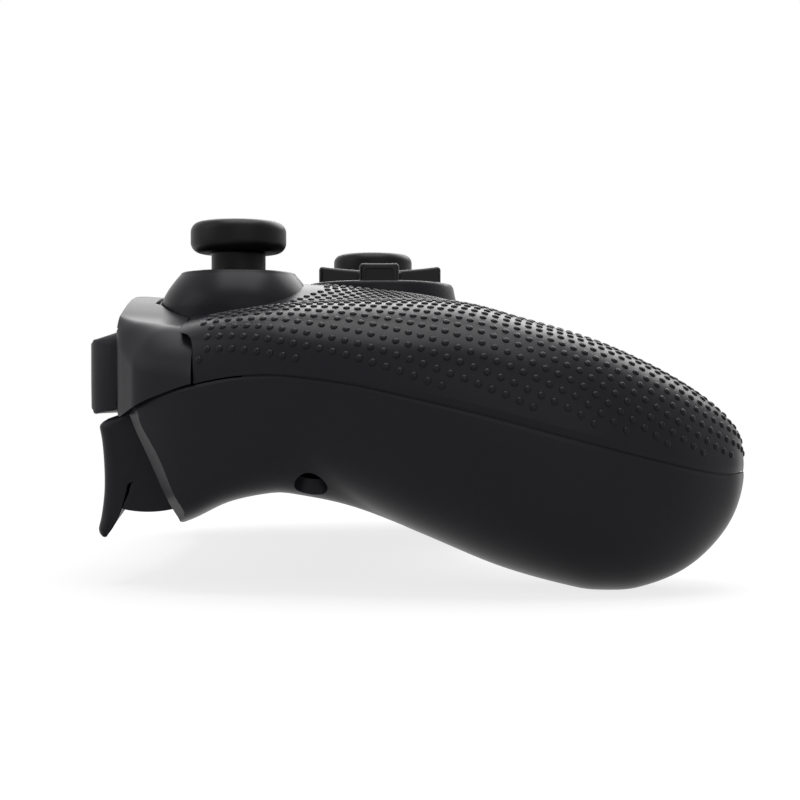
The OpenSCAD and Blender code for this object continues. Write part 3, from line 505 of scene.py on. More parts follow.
def plastic(name, base, rough, grain_mm, grain_depth_mm, specular):
    """Moulded plastic or rubber: a spark-eroded mould leaves a fine, even grain that scatters the
    highlight, and the colour varies a little where the melt flowed."""
    found = bpy.data.materials.get(name)
    if found:
        return found
    material = new_material(name)
    tree = material.node_tree
    flow_mm, spread, shades = 24, 0.05, (0.85, 1.15)
    place = add(tree, "ShaderNodeTexCoord").outputs["Object"]
    grain = add(tree, "ShaderNodeTexNoise", {
        "Vector": place, "Scale": 1 / (grain_mm * MM), "Detail": 3.0, "Roughness": 0.6}).outputs["Fac"]
    flow = add(tree, "ShaderNodeTexNoise", {"Vector": place, "Scale": 1 / (flow_mm * MM), "Detail": 2.0})
    sheen = add(tree, "ShaderNodeMapRange", {
        "Value": grain, "To Min": rough - spread, "To Max": rough + spread})
    tone = add(tree, "ShaderNodeMix", data_type="RGBA")
    tree.links.new(flow.outputs["Fac"], tone.inputs["Factor"])
    ends = [socket for socket in tone.inputs if socket.type == "RGBA"]
    for socket, share in zip(ends, shades):
        socket.default_value = tuple(c * share for c in base[:3]) + (1.0,)
    mixed = next(o for o in tone.outputs if o.type == "RGBA")
    bump = add(tree, "ShaderNodeBump", {
        "Height": grain, "Distance": grain_depth_mm * MM, "Strength": 1.0})
    shader = add(tree, "ShaderNodeBsdfPrincipled", {
        "Base Color": mixed, "Roughness": sheen.outputs["Result"], "Normal": bump.outputs["Normal"],
        "IOR": 1.5, "Specular IOR Level": specular})
    add(tree, "ShaderNodeOutputMaterial", {"Surface": shader.outputs["BSDF"]})
    return material


def metal(name, base, rough):
    """Plated or drawn metal: fine drawing lines along X stretch its highlight."""
    found = bpy.data.materials.get(name)
    if found:
        return found
    material = new_material(name)
    tree = material.node_tree
    line_mm, spread = 0.4, 0.08
    place = add(tree, "ShaderNodeTexCoord").outputs["Object"]
    drawn = add(tree, "ShaderNodeMapping", {"Vector": place, "Scale": (0.1, 1.0, 1.0)})
    lines = add(tree, "ShaderNodeTexNoise", {
        "Vector": drawn.outputs["Vector"], "Scale": 1 / (line_mm * MM), "Detail": 2.0})
    sheen = add(tree, "ShaderNodeMapRange", {
        "Value": lines.outputs["Fac"], "To Min": rough - spread, "To Max": rough + spread})
    shader = add(tree, "ShaderNodeBsdfPrincipled", {
        "Base Color": base, "Metallic": 1.0, "Roughness": sheen.outputs["Result"]})
    add(tree, "ShaderNodeOutputMaterial", {"Surface": shader.outputs["BSDF"]})
    return material


def shell_plastic():
    # ABS, moulded in a spark-eroded tool: satin black with a soft highlight.
    return plastic("moulded_abs_shell", colours().shell, 0.3, 0.35, 0.004, 0.09)


def shoulder_plastic():
    # ABS from a duller tool than the shells, so its highlights are broader.
    return plastic("moulded_abs_shoulder", colours().shoulder, 0.4, 0.3, 0.003, 0.1)


def button_plastic():
    # ABS from a polished tool: a darker, glossier black on what the thumbs press.
    return plastic("polished_abs_button", colours().button, 0.3, 0.5, 0.002, 0.14)


def stick_rubber():
    # Overmoulded rubber: dull and deep black, with a slightly uneven skin.
    return plastic("moulded_stick_rubber", colours().rubber, 0.38, 0.4, 0.004, 0.12)


def groove_line(shift):
    """Side view of what is cut off the top shell for a shoulder: a rounded step."""
    s = shift
    corner = [(32.7 + s, 15), (33.0 + s, 34), (33.1 + s, 36.6), (33.25 + s, 37.6), (33.6 + s, 38.5),
              (34.1 + s, 39.0), (34.8 + s, 39.3), (GROOVE_Y + s, 39.4)]
    return corner + [(GROOVE_Y + s, 70), (70, 70), (70, 15)]


def plate_outline(shift):
    """Right front corner of the face from above, cut back to the stick boss."""
    slope = shift * math.tan(math.radians(22.5))
    return [(PLATE_X + shift, PLATE_Y - PLATE_CUT + slope), (PLATE_X - PLATE_CUT + slope, PLATE_Y + shift)]


def boss_profile():
    """Domed boss under a stick, with a rounded rim."""
    z, spread, bend, last = BOSS_RIM_Z, BOSS_BASE_R - BOSS_RIM_R, 1.6, 0.06
    out = [(0, BOSS_FOOT), (BOSS_BASE_R, BOSS_FOOT)]
    for d in np.linspace(1, last, 20):
        out.append((BOSS_BASE_R - spread * (1 - d) ** bend, z - BOSS_RISE * d))
    edge = BOSS_BASE_R - spread * (1 - last) ** bend
    out += [(edge - 0.1, z - 0.2), (edge - 0.22, z - 0.08), (edge - 0.4, z), (STICK_HOLE_R - 1, z)]
    return out + [(0, z)]


def dome_line(r, start, end, count):
    """Points on a dome round a stick's pivot, by their angle from upright."""
    angles = np.radians(np.linspace(start, end, count))
    return [(r * math.sin(a), STICK_PIVOT_Z + r * math.cos(a)) for a in angles]


def stick_room_profile():
    """Round room for the stick's skirt, and the opening over it."""
    start, r, z = math.degrees(math.asin(STICK_HOLE_R / DOME_ROOM)), STICK_HOLE_R, BOSS_RIM_Z
    out = [(0, 30), (DOME_ROOM, 30)] + dome_line(DOME_ROOM, 90, start, 9)
    return out + [(r, z - 0.5), (r + 0.12, z - 0.2), (r + 0.5, z + 0.05), (r + 0.6, 70), (0, 70)]


def pedestal_profile():
    """Round pedestal of the D-pad: a flared foot and a rounded rim."""
    r, z = PEDESTAL_R, PEDESTAL_Z
    return [(0, 42), (r + 1.2, 42), (r + 1.2, z - 5), (r + 0.75, z - 3.4), (r + 0.4, z - 2),
            (r + 0.15, z - 0.7), (r - 0.02, z - 0.35), (r - 0.18, z - 0.12), (r - 0.45, z), (0, z)]


def hole_profile(r, face):
    """Round hole through the face with a small chamfer."""
    return [(0, 34), (r, 34), (r, face - 0.3), (r + 0.75, face + 0.45), (r + 0.75, face + 6), (0, face + 6)]


def cross_outline(half, arm):
    """Outline of a cross with four like arms."""
    out = []
    for i in range(4):
        a = math.radians(90 * i)
        for u, v in ((half, -arm), (half, arm), (arm, arm)):
            out.append((u * math.cos(a) - v * math.sin(a), u * math.sin(a) + v * math.cos(a)))
    return out


BUTTONS = ("button_north", "button_east", "button_south", "button_west", "back_button", "start_button")


class GAMEPAD_OT_top_cover(Operator):
    """Builds the upper shell with its stick bosses, D-pad pedestal and openings"""
    bl_idname = "gamepad.top_cover"
    bl_label = "Top cover"

    def execute(self, context):
        s = context.scene.gamepad_sizes
        cover = half_body("top_cover", True, s.seam_band / MM, s.seam_tuck / MM)
        combine(cover, body_hollow("hollow"))
        for side in SIGNS:
            combine(cover, side_prism("shoulder_room", groove_line(-HALF_GAP), side, PLATE_X - HALF_GAP, FAR))
        edge = plate_outline(-HALF_GAP)
        room = [(-edge[0][0], 70)] + [(-x, y) for x, y in edge] + edge[::-1] + [(edge[0][0], 70)]
        combine(cover, prism("plate_room", room, 15, 70, "xyz"))
        sticks = [spot("left_stick_cap"), spot("right_stick_cap")]
        for at in sticks:
            combine(cover, revolve("boss", boss_profile(), 96, at), "UNION")
        pad = spot("dpad_cross")
        combine(cover, revolve("pedestal", pedestal_profile(), 96, pad), "UNION")
        for at in sticks:
            combine(cover, revolve("stick_room", stick_room_profile(), 96, at))
        combine(cover, cylinder("pad_room", DPAD_HALF + 0.45, 30, PEDESTAL_Z - 1.6, 72, pad))
        cross = cross_outline(DPAD_HALF + DPAD_PLAY, DPAD_ARM + DPAD_PLAY)
        opening = [(pad.x + u, pad.y + v) for u, v in cross]
        combine(cover, prism("pad_opening", opening, 40, 60, "xyz"))
        holes = [(node, half_width(node) - FLANGE + PLAY) for node in BUTTONS]
        for node, r in holes + [("guide_ring", half_width("guide_ring") + 0.04)]:
            at = spot(node)
            combine(cover, revolve("hole", hole_profile(r, float(crown_at(at.x, at.y))), 64, at))
        complete(cover, "housing", shell_plastic(), ["top_shell"])
        return {"FINISHED"}


def slant_tools(side):
    """What is cut away in front of the lower shell's slanted front edge, and the strip that chamfers it."""
    slant = math.atan2(SLANT_HIGH[0] - SLANT_LOW[0], SLANT_HIGH[1] - SLANT_LOW[1])
    up, out = (math.sin(slant), math.cos(slant)), (math.cos(slant), -math.sin(slant))
    line = [(SLANT_LOW[0] + a * up[0] + b * out[0], SLANT_LOW[1] + a * up[1] + b * out[1])
            for a, b in ((-40, 0), (-40, 60), (40, 60), (40, 0))]
    front = side_prism("front_of_bay", line, side, reach("right_trigger_frame")[0], FAR)
    return front, slant_band("slant_band", side, slant)


def slant_band(name, side, slant):
    """Strip that chamfers the slanted front edge, along the line where the skin meets that edge."""
    t, turn = np.meshgrid(np.linspace(3.2, 6.2, 500), np.linspace(0.3, math.pi / 2, 500))
    p = skin(t, np.sin(turn), False, lift=-HALF_GAP).reshape(-1, 3)
    y, z = p[:, 1] - SLANT_LOW[0], p[:, 2] - SLANT_LOW[1]
    ahead, up = y * math.cos(slant) - z * math.sin(slant), y * math.sin(slant) + z * math.cos(slant)
    near = (np.abs(ahead) < 0.15) & (up > -0.2)
    order = np.argsort(up[near])
    fit = np.polyfit(up[near][order], p[near, 0][order], 4)
    inward, outward, proud, depth = 2.84, 8, 0.3, 5.69
    rows = []
    for h in np.linspace(-6, 21, 28):
        x = float(np.polyval(fit, min(max(h, 0.3), 17.5)))
        ring = [(x - inward, proud), (x + outward, proud), (x + outward, -depth)]
        rows.append([(side * u, SLANT_LOW[0] + v * math.cos(slant) + h * math.sin(slant),
                      SLANT_LOW[1] - v * math.sin(slant) + h * math.cos(slant)) for u, v in ring])
    return loft(name, rows)


class GAMEPAD_OT_bottom_cover(Operator):
    """Builds the lower shell with the trigger bays, the slanted front edges and the screw recesses"""
    bl_idname = "gamepad.bottom_cover"
    bl_label = "Bottom cover"

    def execute(self, context):
        cover = half_body("bottom_cover", False, LOWER_BAND, LOWER_TUCK)
        hollow = body_hollow("hollow")
        combine(hollow, block("front_limit", (-FAR, FRONT_Y - 2, -9), (FAR, 99, 99)))
        x0, x1 = reach("right_trigger_frame")
        y0, top, wall = BAY_Y, BAY_TOP, BAY_WALL
        walls = [((x0 - wall, y0 - wall, 0), (x0 + 38, y0, top)), ((x0 - wall, y0 - 1, 0), (x0, 70, top)),
                 ((x1, y0 - 1, 0), (x1 + wall, 40, top)), ((x1 + 1, 31, 0), (x1 + 20, 70, top))]
        for side in SIGNS:
            for low, high in walls:
                combine(hollow, side_block("bay_wall", side, low, high))
        combine(cover, hollow)
        roof = 24
        drum = [p for p in arc(PIVOT, DRUM_R + PLAY, 150, 300, 60) if p[1] < roof and p[0] > y0 + 1]
        drum = [(drum[0][0], roof)] + drum + [(drum[-1][0], roof)]
        for side in SIGNS:
            combine(cover, side_prism("drum_room", drum, side, x0, x1))
            for tool in slant_tools(side):
                combine(cover, tool)
        combine(cover, block("front_plane", (-FAR, FRONT_Y, 0), (FAR, FAR, 60)))
        for side in SIGNS:
            for at, seat in SCREWS:
                recess = [(0, -5), (HEAD_R + 0.3, -5), (HEAD_R + 0.3, seat), (SHANK_R, seat),
                          (SHANK_R, seat + 30), (0, seat + 30)]
                combine(cover, revolve("recess", recess, 48, (side * at[0], at[1])))
        combine(cover, hole_along_y("jack_hole", JACK_R, -6, 20, JACK_AT))
        complete(cover, "housing", shell_plastic(), ["bottom_shell"], 18)
        return {"FINISHED"}


class GAMEPAD_OT_seam_lip(Operator):
    """Runs a lip inside the parting line, which keeps light out of the seam"""
    bl_idname = "gamepad.seam_lip"
    bl_label = "Seam lip"

    def execute(self, context):
        outer = rail(OUTER_RAIL, INNER_RAIL, np.linspace(6.1, 14.98, 220))
        inner = rail(INNER_RAIL, OUTER_RAIL, np.linspace(14.98, 0, 220))
        way = np.concatenate([outer, inner, inner[-2::-1] * (-1, 1), outer[::-1] * (-1, 1)])
        along = np.gradient(way, axis=0)
        inward = np.stack([along[:, 1], -along[:, 0]], -1) / np.linalg.norm(along, axis=1, keepdims=True)
        seam = hermite(PARTING, way[:, 1])
        outside, inside, under, over = 0.55, 1.5, 1.2, 0.9
        rows = []
        for p, n, z in zip(way, inward, seam):
            near, far, low, high = p + n * outside, p + n * inside, z - under, z + over
            rows.append([(*near, low), (*near, high), (*far, high), (*far, low)])
        lip = loft("seam_lip", rows)
        complete(lip, "housing", shell_plastic())
        return {"FINISHED"}


# How far the rows of dots sink towards the seam on their way back from the shoulder: (way, fall).
ROW_FALL = [(0, 0), (14, 2.3), (34, 4.2), (48, 6.0), (58, 7.8), (63, 9.7), (68, 11.5), (73, 13.3), (79, 15.2),
            (95, 20)]
DOT_START_Y = 32.2
# Height of the lowest row over the seam at the shoulder, and the least height that a dot keeps.
FIRST_ROW, LEAST_HEIGHT = 0.7, 2.5


def dot_places():
    """Places and normals of the dots of the right grip, on a staggered lattice over the shell's skin.
    One way of the lattice runs along the outer side, the other across the section from the seam up."""
    s = sizes()
    pitch, rows = s.dot_pitch / MM, s.dot_rows / MM
    outer_side, inner_end, columns, most_rows = 0.97, -0.55, range(-24, 60), 40
    t_fine = np.linspace(3.0, 14.9, 1200)
    edge = skin(t_fine, outer_side, True, lift=HALF_GAP)
    way = np.concatenate([[0], np.cumsum(np.linalg.norm(np.diff(edge, axis=0), axis=1))])
    start = np.interp(-DOT_START_Y, -edge[:, 1], way)
    across = np.linspace(1, inner_end, 320)
    places = []
    for k in columns:
        for half in (0, 1):
            along = start + (k + half / 2) * pitch
            if not way[0] < along < way[-1]:
                continue
            t = float(np.interp(along, way, t_fine))
            line = skin(t, across, True, lift=HALF_GAP)
            up = np.concatenate([[0], np.cumsum(np.linalg.norm(np.diff(line, axis=0), axis=1))])
            fall = float(np.interp(max(along - start, 0), *zip(*ROW_FALL)))
            for j in range(most_rows):
                height = FIRST_ROW + (2 * j + half) * rows - fall
                if LEAST_HEIGHT < height < up[-1]:
                    c = float(np.interp(height, up, across))
                    places.append((t, c))
    t, c = np.array(places).T
    p = skin(t, c, True, lift=HALF_GAP)
    ahead = skin(t + 0.01, c, True, lift=HALF_GAP) - skin(t - 0.01, c, True, lift=HALF_GAP)
    side = skin(t, c + 0.002, True, lift=HALF_GAP) - skin(t, c - 0.002, True, lift=HALF_GAP)
    normal = np.cross(side, ahead)
    normal /= np.linalg.norm(normal, axis=1, keepdims=True)
    normal *= np.where(normal[:, 2:] < 0, -1, 1)
    return p, normal


def clear_of(p, side, margin):
    """Which dots keep off the bosses, the buttons and the shoulder on their side."""
    button_field, groove_back, grip_x = 15.5, 33.1, 25
    if side < 0:
        rounds = [(spot("left_stick_cap"), BOSS_BASE_R), (spot("dpad_cross"), PEDESTAL_R + 1)]
    else:
        middle = (spot("button_east") + spot("button_west")) / 2
        rounds = [(spot("right_stick_cap"), BOSS_BASE_R), (middle, button_field)]
    keep = np.ones(len(p), bool)
    for at, r in rounds:
        keep &= np.hypot(p[:, 0] * side - at.x, p[:, 1] - at.y) > r + margin
    beside_plate = (p[:, 0] < PLATE_X - 1) & (p[:, 1] < PLATE_Y - 8)
    keep &= (p[:, 1] < groove_back - margin * 0.75) | beside_plate
    return keep & (p[:, 0] > grip_x)


def dot_tree():
    """Geometry nodes: a low dome on each point, turned to the point's normal."""
    tree = bpy.data.node_groups.new("grip_dots", "GeometryNodeTree")
    face = tree.interface
    face.new_socket("Geometry", in_out="INPUT", socket_type="NodeSocketGeometry")
    kinds = {"Diameter": "Float", "Height": "Float", "Sides": "Int", "Material": "Material"}
    for name, kind in kinds.items():
        face.new_socket(name, in_out="INPUT", socket_type=f"NodeSocket{kind}")
    face.new_socket("Geometry", in_out="OUTPUT", socket_type="NodeSocketGeometry")
    given = add(tree, "NodeGroupInput").outputs
    ball = add(tree, "GeometryNodeMeshUVSphere", {"Segments": given["Sides"], "Rings": 6, "Radius": 0.5})
    size = add(tree, "ShaderNodeCombineXYZ", {
        "X": given["Diameter"], "Y": given["Diameter"], "Z": given["Height"]})
    double = add(tree, "ShaderNodeVectorMath", {0: size.outputs["Vector"], 1: (1.0, 1.0, 2.0)},
                 operation="MULTIPLY")
    dome = add(tree, "GeometryNodeTransform", {
        "Geometry": ball.outputs["Mesh"], "Scale": double.outputs["Vector"]})
    way = add(tree, "GeometryNodeInputNamedAttribute", {"Name": "facing"}, data_type="FLOAT_VECTOR")
    turn = add(tree, "FunctionNodeAlignRotationToVector", {"Vector": way.outputs["Attribute"]}, axis="Z")
    put = add(tree, "GeometryNodeInstanceOnPoints", {
        "Points": given["Geometry"], "Instance": dome.outputs["Geometry"],
        "Rotation": turn.outputs["Rotation"]})
    real = add(tree, "GeometryNodeRealizeInstances", {"Geometry": put.outputs["Instances"]})
    smooth = add(tree, "GeometryNodeSetShadeSmooth", {"Geometry": real.outputs["Geometry"]})
    paint = add(tree, "GeometryNodeSetMaterial", {
        "Geometry": smooth.outputs["Geometry"], "Material": given["Material"]})
    add(tree, "NodeGroupOutput", {"Geometry": paint.outputs["Geometry"]})
    return tree


def set_inputs(modifier, values):
    """Sets a geometry nodes modifier's inputs by the identifiers of their sockets."""
    for item in modifier.node_group.interface.items_tree:
        if item.item_type == "SOCKET" and item.in_out == "INPUT" and item.name in values:
            modifier[item.identifier] = values[item.name]


class GAMEPAD_OT_grip_dots(Operator):
    """Sets the raised grip dots on both sides of the upper shell"""
    bl_idname = "gamepad.grip_dots"
    bl_label = "Grip dots"

    def execute(self, context):
        s = context.scene.gamepad_sizes
        places, normals = dot_places()
        tree = dot_tree()
        for name, side in SIDES:
            keep = clear_of(places, side, s.dot_margin / MM)
            p, n = places[keep] * (side, 1, 1), normals[keep] * (side, 1, 1)
            mesh = bpy.data.meshes.new(f"{name}_grip_dots")
            mesh.from_pydata([tuple(q) for q in p * MM], [], [])
            facing = mesh.attributes.new("facing", "FLOAT_VECTOR", "POINT")
            facing.data.foreach_set("vector", n.astype(np.float32).ravel())
            dots = bpy.data.objects.new(f"{name}_grip_dots", mesh)
            context.scene.collection.objects.link(dots)
            nodes = dots.modifiers.new("dots", "NODES")
            nodes.node_group = tree
            set_inputs(nodes, {"Diameter": s.dot_diameter, "Height": s.dot_height, "Sides": s.dot_sides,
                               "Material": shell_plastic()})
            keep_evaluated(dots)
            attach(dots, "housing")
        return {"FINISHED"}


# Shoulder housings: roof from the middle outwards (x, z at the front edge), and front edge from above (x, y).
ROOF = [(0, 48.3), (20, 47.6), (36, 46.5), (42, 45.4), (47, 43.9), (52, 42.3), (56.5, 41.5), (60, 41.2),
        (64, 40.6), (68, 40.0)]
ROOF_FALL = math.tan(math.radians(4))
SHOULDER_X = 68.0


def shoulder_front(x, t):
    """Front edge of the shoulders from above, with softened corners."""
    turns = [(0, FRONT_Y + 1 - t), (50, FRONT_Y + 1 - t), (56.5 - t / 2, 45.9 - t), (63 - t, 42 - t / 2),
             (SHOULDER_X - t, 31.5)]
    near = np.abs(np.asarray(x, float)[..., None]) + np.linspace(-1.4, 1.4, 15)
    return np.interp(np.minimum(near, SHOULDER_X - t), *zip(*turns)).mean(-1)


def distance_to(line, points):
    """Distance of each point from a line of straight stretches."""
    a, run = line[:-1], np.diff(line, axis=0)
    gap = points[:, None] - a
    share = np.clip((gap * run).sum(-1) / (run * run).sum(-1), 0, 1)
    return np.linalg.norm(gap - share[..., None] * run, axis=-1).min(1)


def shoulder_solid(name, t):
    """Shoulder housings and bridge as one solid, drawn in by t. The roof rolls over into the sides,
    with little rounding at the front edge and more towards the groove."""
    end, back, foot = SHOULDER_X - t, 28.0, 8.0
    ends = end - np.array([0.5, 0.3, 0.16, 0.07, 0.02, 0.0])
    stations = np.concatenate([np.arange(0, 48, 4.0), np.arange(48, end - 0.6, 0.6), ends])
    edge_x = np.concatenate([np.linspace(0, 46, 10), np.linspace(46.2, end, 120)])
    edge = np.stack([edge_x, shoulder_front(edge_x, t)], -1)
    edge = np.vstack([edge, (end, back - 9)])
    part = np.linspace(0, 1, 22) ** 2
    crisp, more_deep, more_wide = 0.8, 6.2, 11.2
    rows = []
    for x in stations:
        front = float(shoulder_front(x, t))
        y = front - part * (front - back)
        away = distance_to(edge, np.stack([np.full_like(y, x), y], -1))
        away[0] = 0
        turn = float(step01(50, 63, x))
        deep, wide = crisp + more_deep * turn, crisp + more_wide * turn
        roll = deep * (1 - np.sqrt(1 - np.maximum(1 - away / wide, 0) ** 2))
        z = float(hermite(ROOF, x)) - t - (FRONT_Y - y) * ROOF_FALL - roll
        rows.append([(x, back, foot), (x, front, foot)] + [(x, v, w) for v, w in zip(y, z)])
    solid = loft(name, both_ways(rows))
    y = np.arange(46, GROOVE_Y - 4.1, -0.5)
    seam = hermite(PARTING, y) - 0.45 * step01(33, 39, y)
    low = [(v, float(w) + HALF_GAP - t) for v, w in zip(y, seam) if v < 46 - t]
    side = [(GROOVE_Y - 4, 60), (FRONT_Y - t, 60), (FRONT_Y - t, 38), (46 - t, 27 - t)]
    return combine(solid, prism("side", side + low, -70, 70), "INTERSECT")


class GAMEPAD_OT_shoulders(Operator):
    """Builds both shoulder housings with the bridge between them"""
    bl_idname = "gamepad.shoulders"
    bl_label = "Shoulder housings"

    def execute(self, context):
        wall, skirt_out, skirt_in, skirt_top, skirt_x = 2.0, 1.6, 2.6, 33, 55.5
        bezel = shoulder_solid("shoulder_housing", 0.0)
        combine(bezel, shoulder_solid("inside", wall))
        # A skirt behind the seam to the lower shell, which keeps light out of it.
        skirt = combine(shoulder_solid("skirt", skirt_out), shoulder_solid("inside", skirt_in))
        combine(skirt, block("above_skirt", (-70, 20, skirt_top), (70, 60, 60)))
        combine(skirt, block("between_skirts", (-skirt_x, 20, 20), (skirt_x, 60, 60)))
        for side in SIGNS:
            for tool in slant_tools(side):
                combine(skirt, tool)
        combine(bezel, skirt, "UNION")
        edge = plate_outline(HALF_GAP)
        plate = [(edge[0][0], 20)] + edge + [(-x, y) for x, y in edge[::-1]] + [(-edge[0][0], 20)]
        combine(bezel, prism("plate", plate, 0, 60, "xyz"))
        line = groove_line(HALF_GAP)[:8]
        behind = [(20, 10)] + [(line[0][0], 10)] + line + [(line[-1][0], 60), (20, 60)]
        for side in SIGNS:
            combine(bezel, side_prism("behind_groove", behind, side, PLATE_X - 1, 70))
        gap = 2 * HALF_GAP
        dome = [(r + gap, z) for r, z in boss_profile()[2:-1]]
        room = [(0, 30), (BOSS_BASE_R + gap, 30)] + dome + [(0, BOSS_RIM_Z)]
        combine(bezel, revolve("boss_room", room, 96, spot("left_stick_cap")))
        x0, x1 = BUMPER_X
        for side in SIGNS:
            combine(bezel, side_block("window", side, (x0 - PLAY, 43, 23.5), (x1 + PLAY, 53, 40.5)))
        # The apron closes the front below the bridge, down to the lower shell.
        combine(bezel, block("apron", (-34.2, 44.4, 23.65), (34.2, 45.9, 26.5)), "UNION")
        combine(bezel, block("apron_middle", (-24.1, 44.4, 26.0), (24.1, 45.9, 28)), "UNION")
        low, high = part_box("usb_port")
        combine(bezel, block("usb_window", (low.x / MM - PLAY, 40, low.z / MM - PLAY),
                             (high.x / MM + PLAY, 50, high.z / MM + PLAY)))
        at = spot("pair_button")
        combine(bezel, hole_along_y("pair_hole", PAIR_R, -6, 6, (at.x, FRONT_Y, at.z)))
        complete(bezel, "housing", shoulder_plastic(), ["front_bezel"])
        return {"FINISHED"}


class GAMEPAD_OT_bumpers(Operator):
    """Builds the two shoulder bumpers with rounded edges"""
    bl_idname = "gamepad.bumpers"
    bl_label = "Bumpers"

    def execute(self, context):
        front, back, low, top = 51.65, 45.9, 26.95, 38.6
        x0, x1 = BUMPER_X
        outline = [(back, low + 0.9), (front - 1.1, low), (front - 0.4, low + 1), (front, top - 0.7),
                   (front - 0.5, top), (46.6, top + 1.5), (back, top + 1.5)]
        ring = rounded(outline, 1.3, 7)
        bend = [(x1, 45.5), (x1 - 0.15, 47.2), (x1 - 1.3, 49.3), (x1 - 3.1, 50.9), (x1 - 5.2, front - 0.07),
                (x1 - 8, front)]
        plan = [(x0, 40), (x1, 40)] + smooth_line(bend, 5) + [(x0 + 1, front), (x0, front - 1)]
        roll, upper = BUMPER_ROLL, 5
        for name, side in SIDES:
            rows = []
            for x in np.concatenate([[x0], x1 - roll * np.cos(np.radians(np.linspace(0, 90, 12)))]):
                gap = max(roll - (x1 - x), 0)
                fall = roll - math.sqrt(max(roll ** 2 - gap ** 2, 0))
                rows.append([(side * x, y, z - fall * min(max((z - top + upper) / upper, 0), 1))
                             for y, z in ring])
            bumper = loft(f"{name}_bumper_key", rows)
            combine(bumper, prism("plan", [(side * x, y) for x, y in plan], 0, 60, "xyz"), "INTERSECT")
            soften(bumper, context.scene.gamepad_sizes.edge_round / MM)
            stem = side_block("stem", side, (26.5, 40.9, 34.4), (31.5, back + 0.3, 37.4))
            combine(bumper, stem, "UNION")
            catch = side_block("catch", side, (x0 - 2.4, 42.6, 34.4), (26.6, 43.8, 37.4))
            combine(bumper, catch, "UNION")
            complete(bumper, f"{name}_bumper", shoulder_plastic(), [f"{name}_bumper"])
        return {"FINISHED"}


class GAMEPAD_OT_triggers(Operator):
    """Builds the two pull triggers: hollow drum, hub and the concave blade with its flared tip"""
    bl_idname = "gamepad.triggers"
    bl_label = "Triggers"

    def execute(self, context):
        py, pz = PIVOT
        x0, x1 = reach("right_trigger")
        face = smooth_line([(49.6, 24.9), (49.15, 22.3), (48.85, 18.3), (48.85, 14.75), (49.25, 11.2),
                            (49.7, 9.1)], 5)
        tip = [(49.7, 8.7), (49.45, 8.1), (49.0, 7.7), (48.5, 7.55), (48.15, 7.7)]
        back = smooth_line([(47.8, 8.2), (47.0, 9.35), (45.9, 11.6), (45.05, 14.5), (44.7, 16.0)], 5)
        top = [(py + 1.2, pz + 2.1), (44.8, 27.3), (46.5, 26.9), (48.2, 26.3), (49.1, 25.75), (49.5, 25.3)]
        blade = top + face + tip + back + [(42.5, 16.9), (py - 2, pz - 1.5)]
        # For each point of the blade: how much it goes back and down with the rounding of the two ends,
        # and how much of the lean forwards it takes.
        roll = [0, 0, 0.2, 0.6, 0.85, 1] + list(np.interp([p[1] for p in face], [9.1, 12], [0.65, 1]))
        roll += [0.55, 0.4, 0.25, 0.1, 0] + [0] * (len(back) + 2)
        drop = [0, 0.35, 0.5, 0.5, 0.4, 0.2] + [0] * (len(blade) - 6)
        hook = [0] * (len(top) + len(face)) + [0, 0.1, 0.3, 0.6, 0.9]
        hook += list(np.interp([p[1] for p in back], [10, 15], [1, 0])) + [0, 0]
        drum = arc(PIVOT, DRUM_R, -76.8, -140, 40) + [(py - 1, pz), (43, 18), (44.4, 15.9), (44.75, 14.5)]
        lower = [(-15, 13.6), (-4, 12.5), (1.5, 11.4), (5.5, 8.9), (8, 7.4), (15, 7.2)]
        lower = [(-15, 40)] + smooth_line(lower, 5) + [(15, 40)]
        hollow = arc(PIVOT, DRUM_R - 2, -141, -84, 40) + arc(PIVOT, 4.2, -84, -141, 12)
        hub, spring_room, pin_hole = (arc(PIVOT, r, 0, end, count) for r, end, count in
                                      ((2.7, 354, 60), (4.3, 354, 60), (1.24, 352.5, 48)))
        middle = (x0 + x1) / 2
        ends = EDGE_ROLL * (1 - np.cos(np.radians(np.linspace(0, 90, 10))))
        for name, side in SIDES:
            rows = []
            for x in np.concatenate([x0 + ends, x1 - ends[::-1]]):
                gap = EDGE_ROLL - min(x - x0, x1 - x, EDGE_ROLL)
                fall = EDGE_ROLL - math.sqrt(EDGE_ROLL ** 2 - gap ** 2)
                lean = min(0.17 * (x1 - x), 1.2)
                rows.append([(side * x, y - fall * w + lean * b, z - fall * v)
                             for (y, z), w, v, b in zip(blade, roll, drop, hook)])
            trigger = loft(f"{name}_trigger_lever", rows)
            edge = [(side * (middle + u), z) for u, z in lower]
            combine(trigger, prism("lower_edge", edge, 10, 60, "xzy"), "INTERSECT")
            soften(trigger, 0.3, 3, 50)
            combine(trigger, soften(side_prism("drum", drum, side, x0, x1), 0.3, 3, 50), "UNION")
            combine(trigger, side_prism("hollow", hollow, side, x0 + 2, x1 - 2))
            combine(trigger, side_prism("hub", hub, side, x0 + 0.1, x1 - 0.1), "UNION")
            combine(trigger, side_prism("spring_room", spring_room, side, middle - 3.5, middle + 3.5))
            combine(trigger, side_prism("pin_hole", pin_hole, side, x0 - 1, x1 + 1))
            complete(trigger, f"{name}_trigger", shoulder_plastic(), [f"{name}_trigger"])
        return {"FINISHED"}


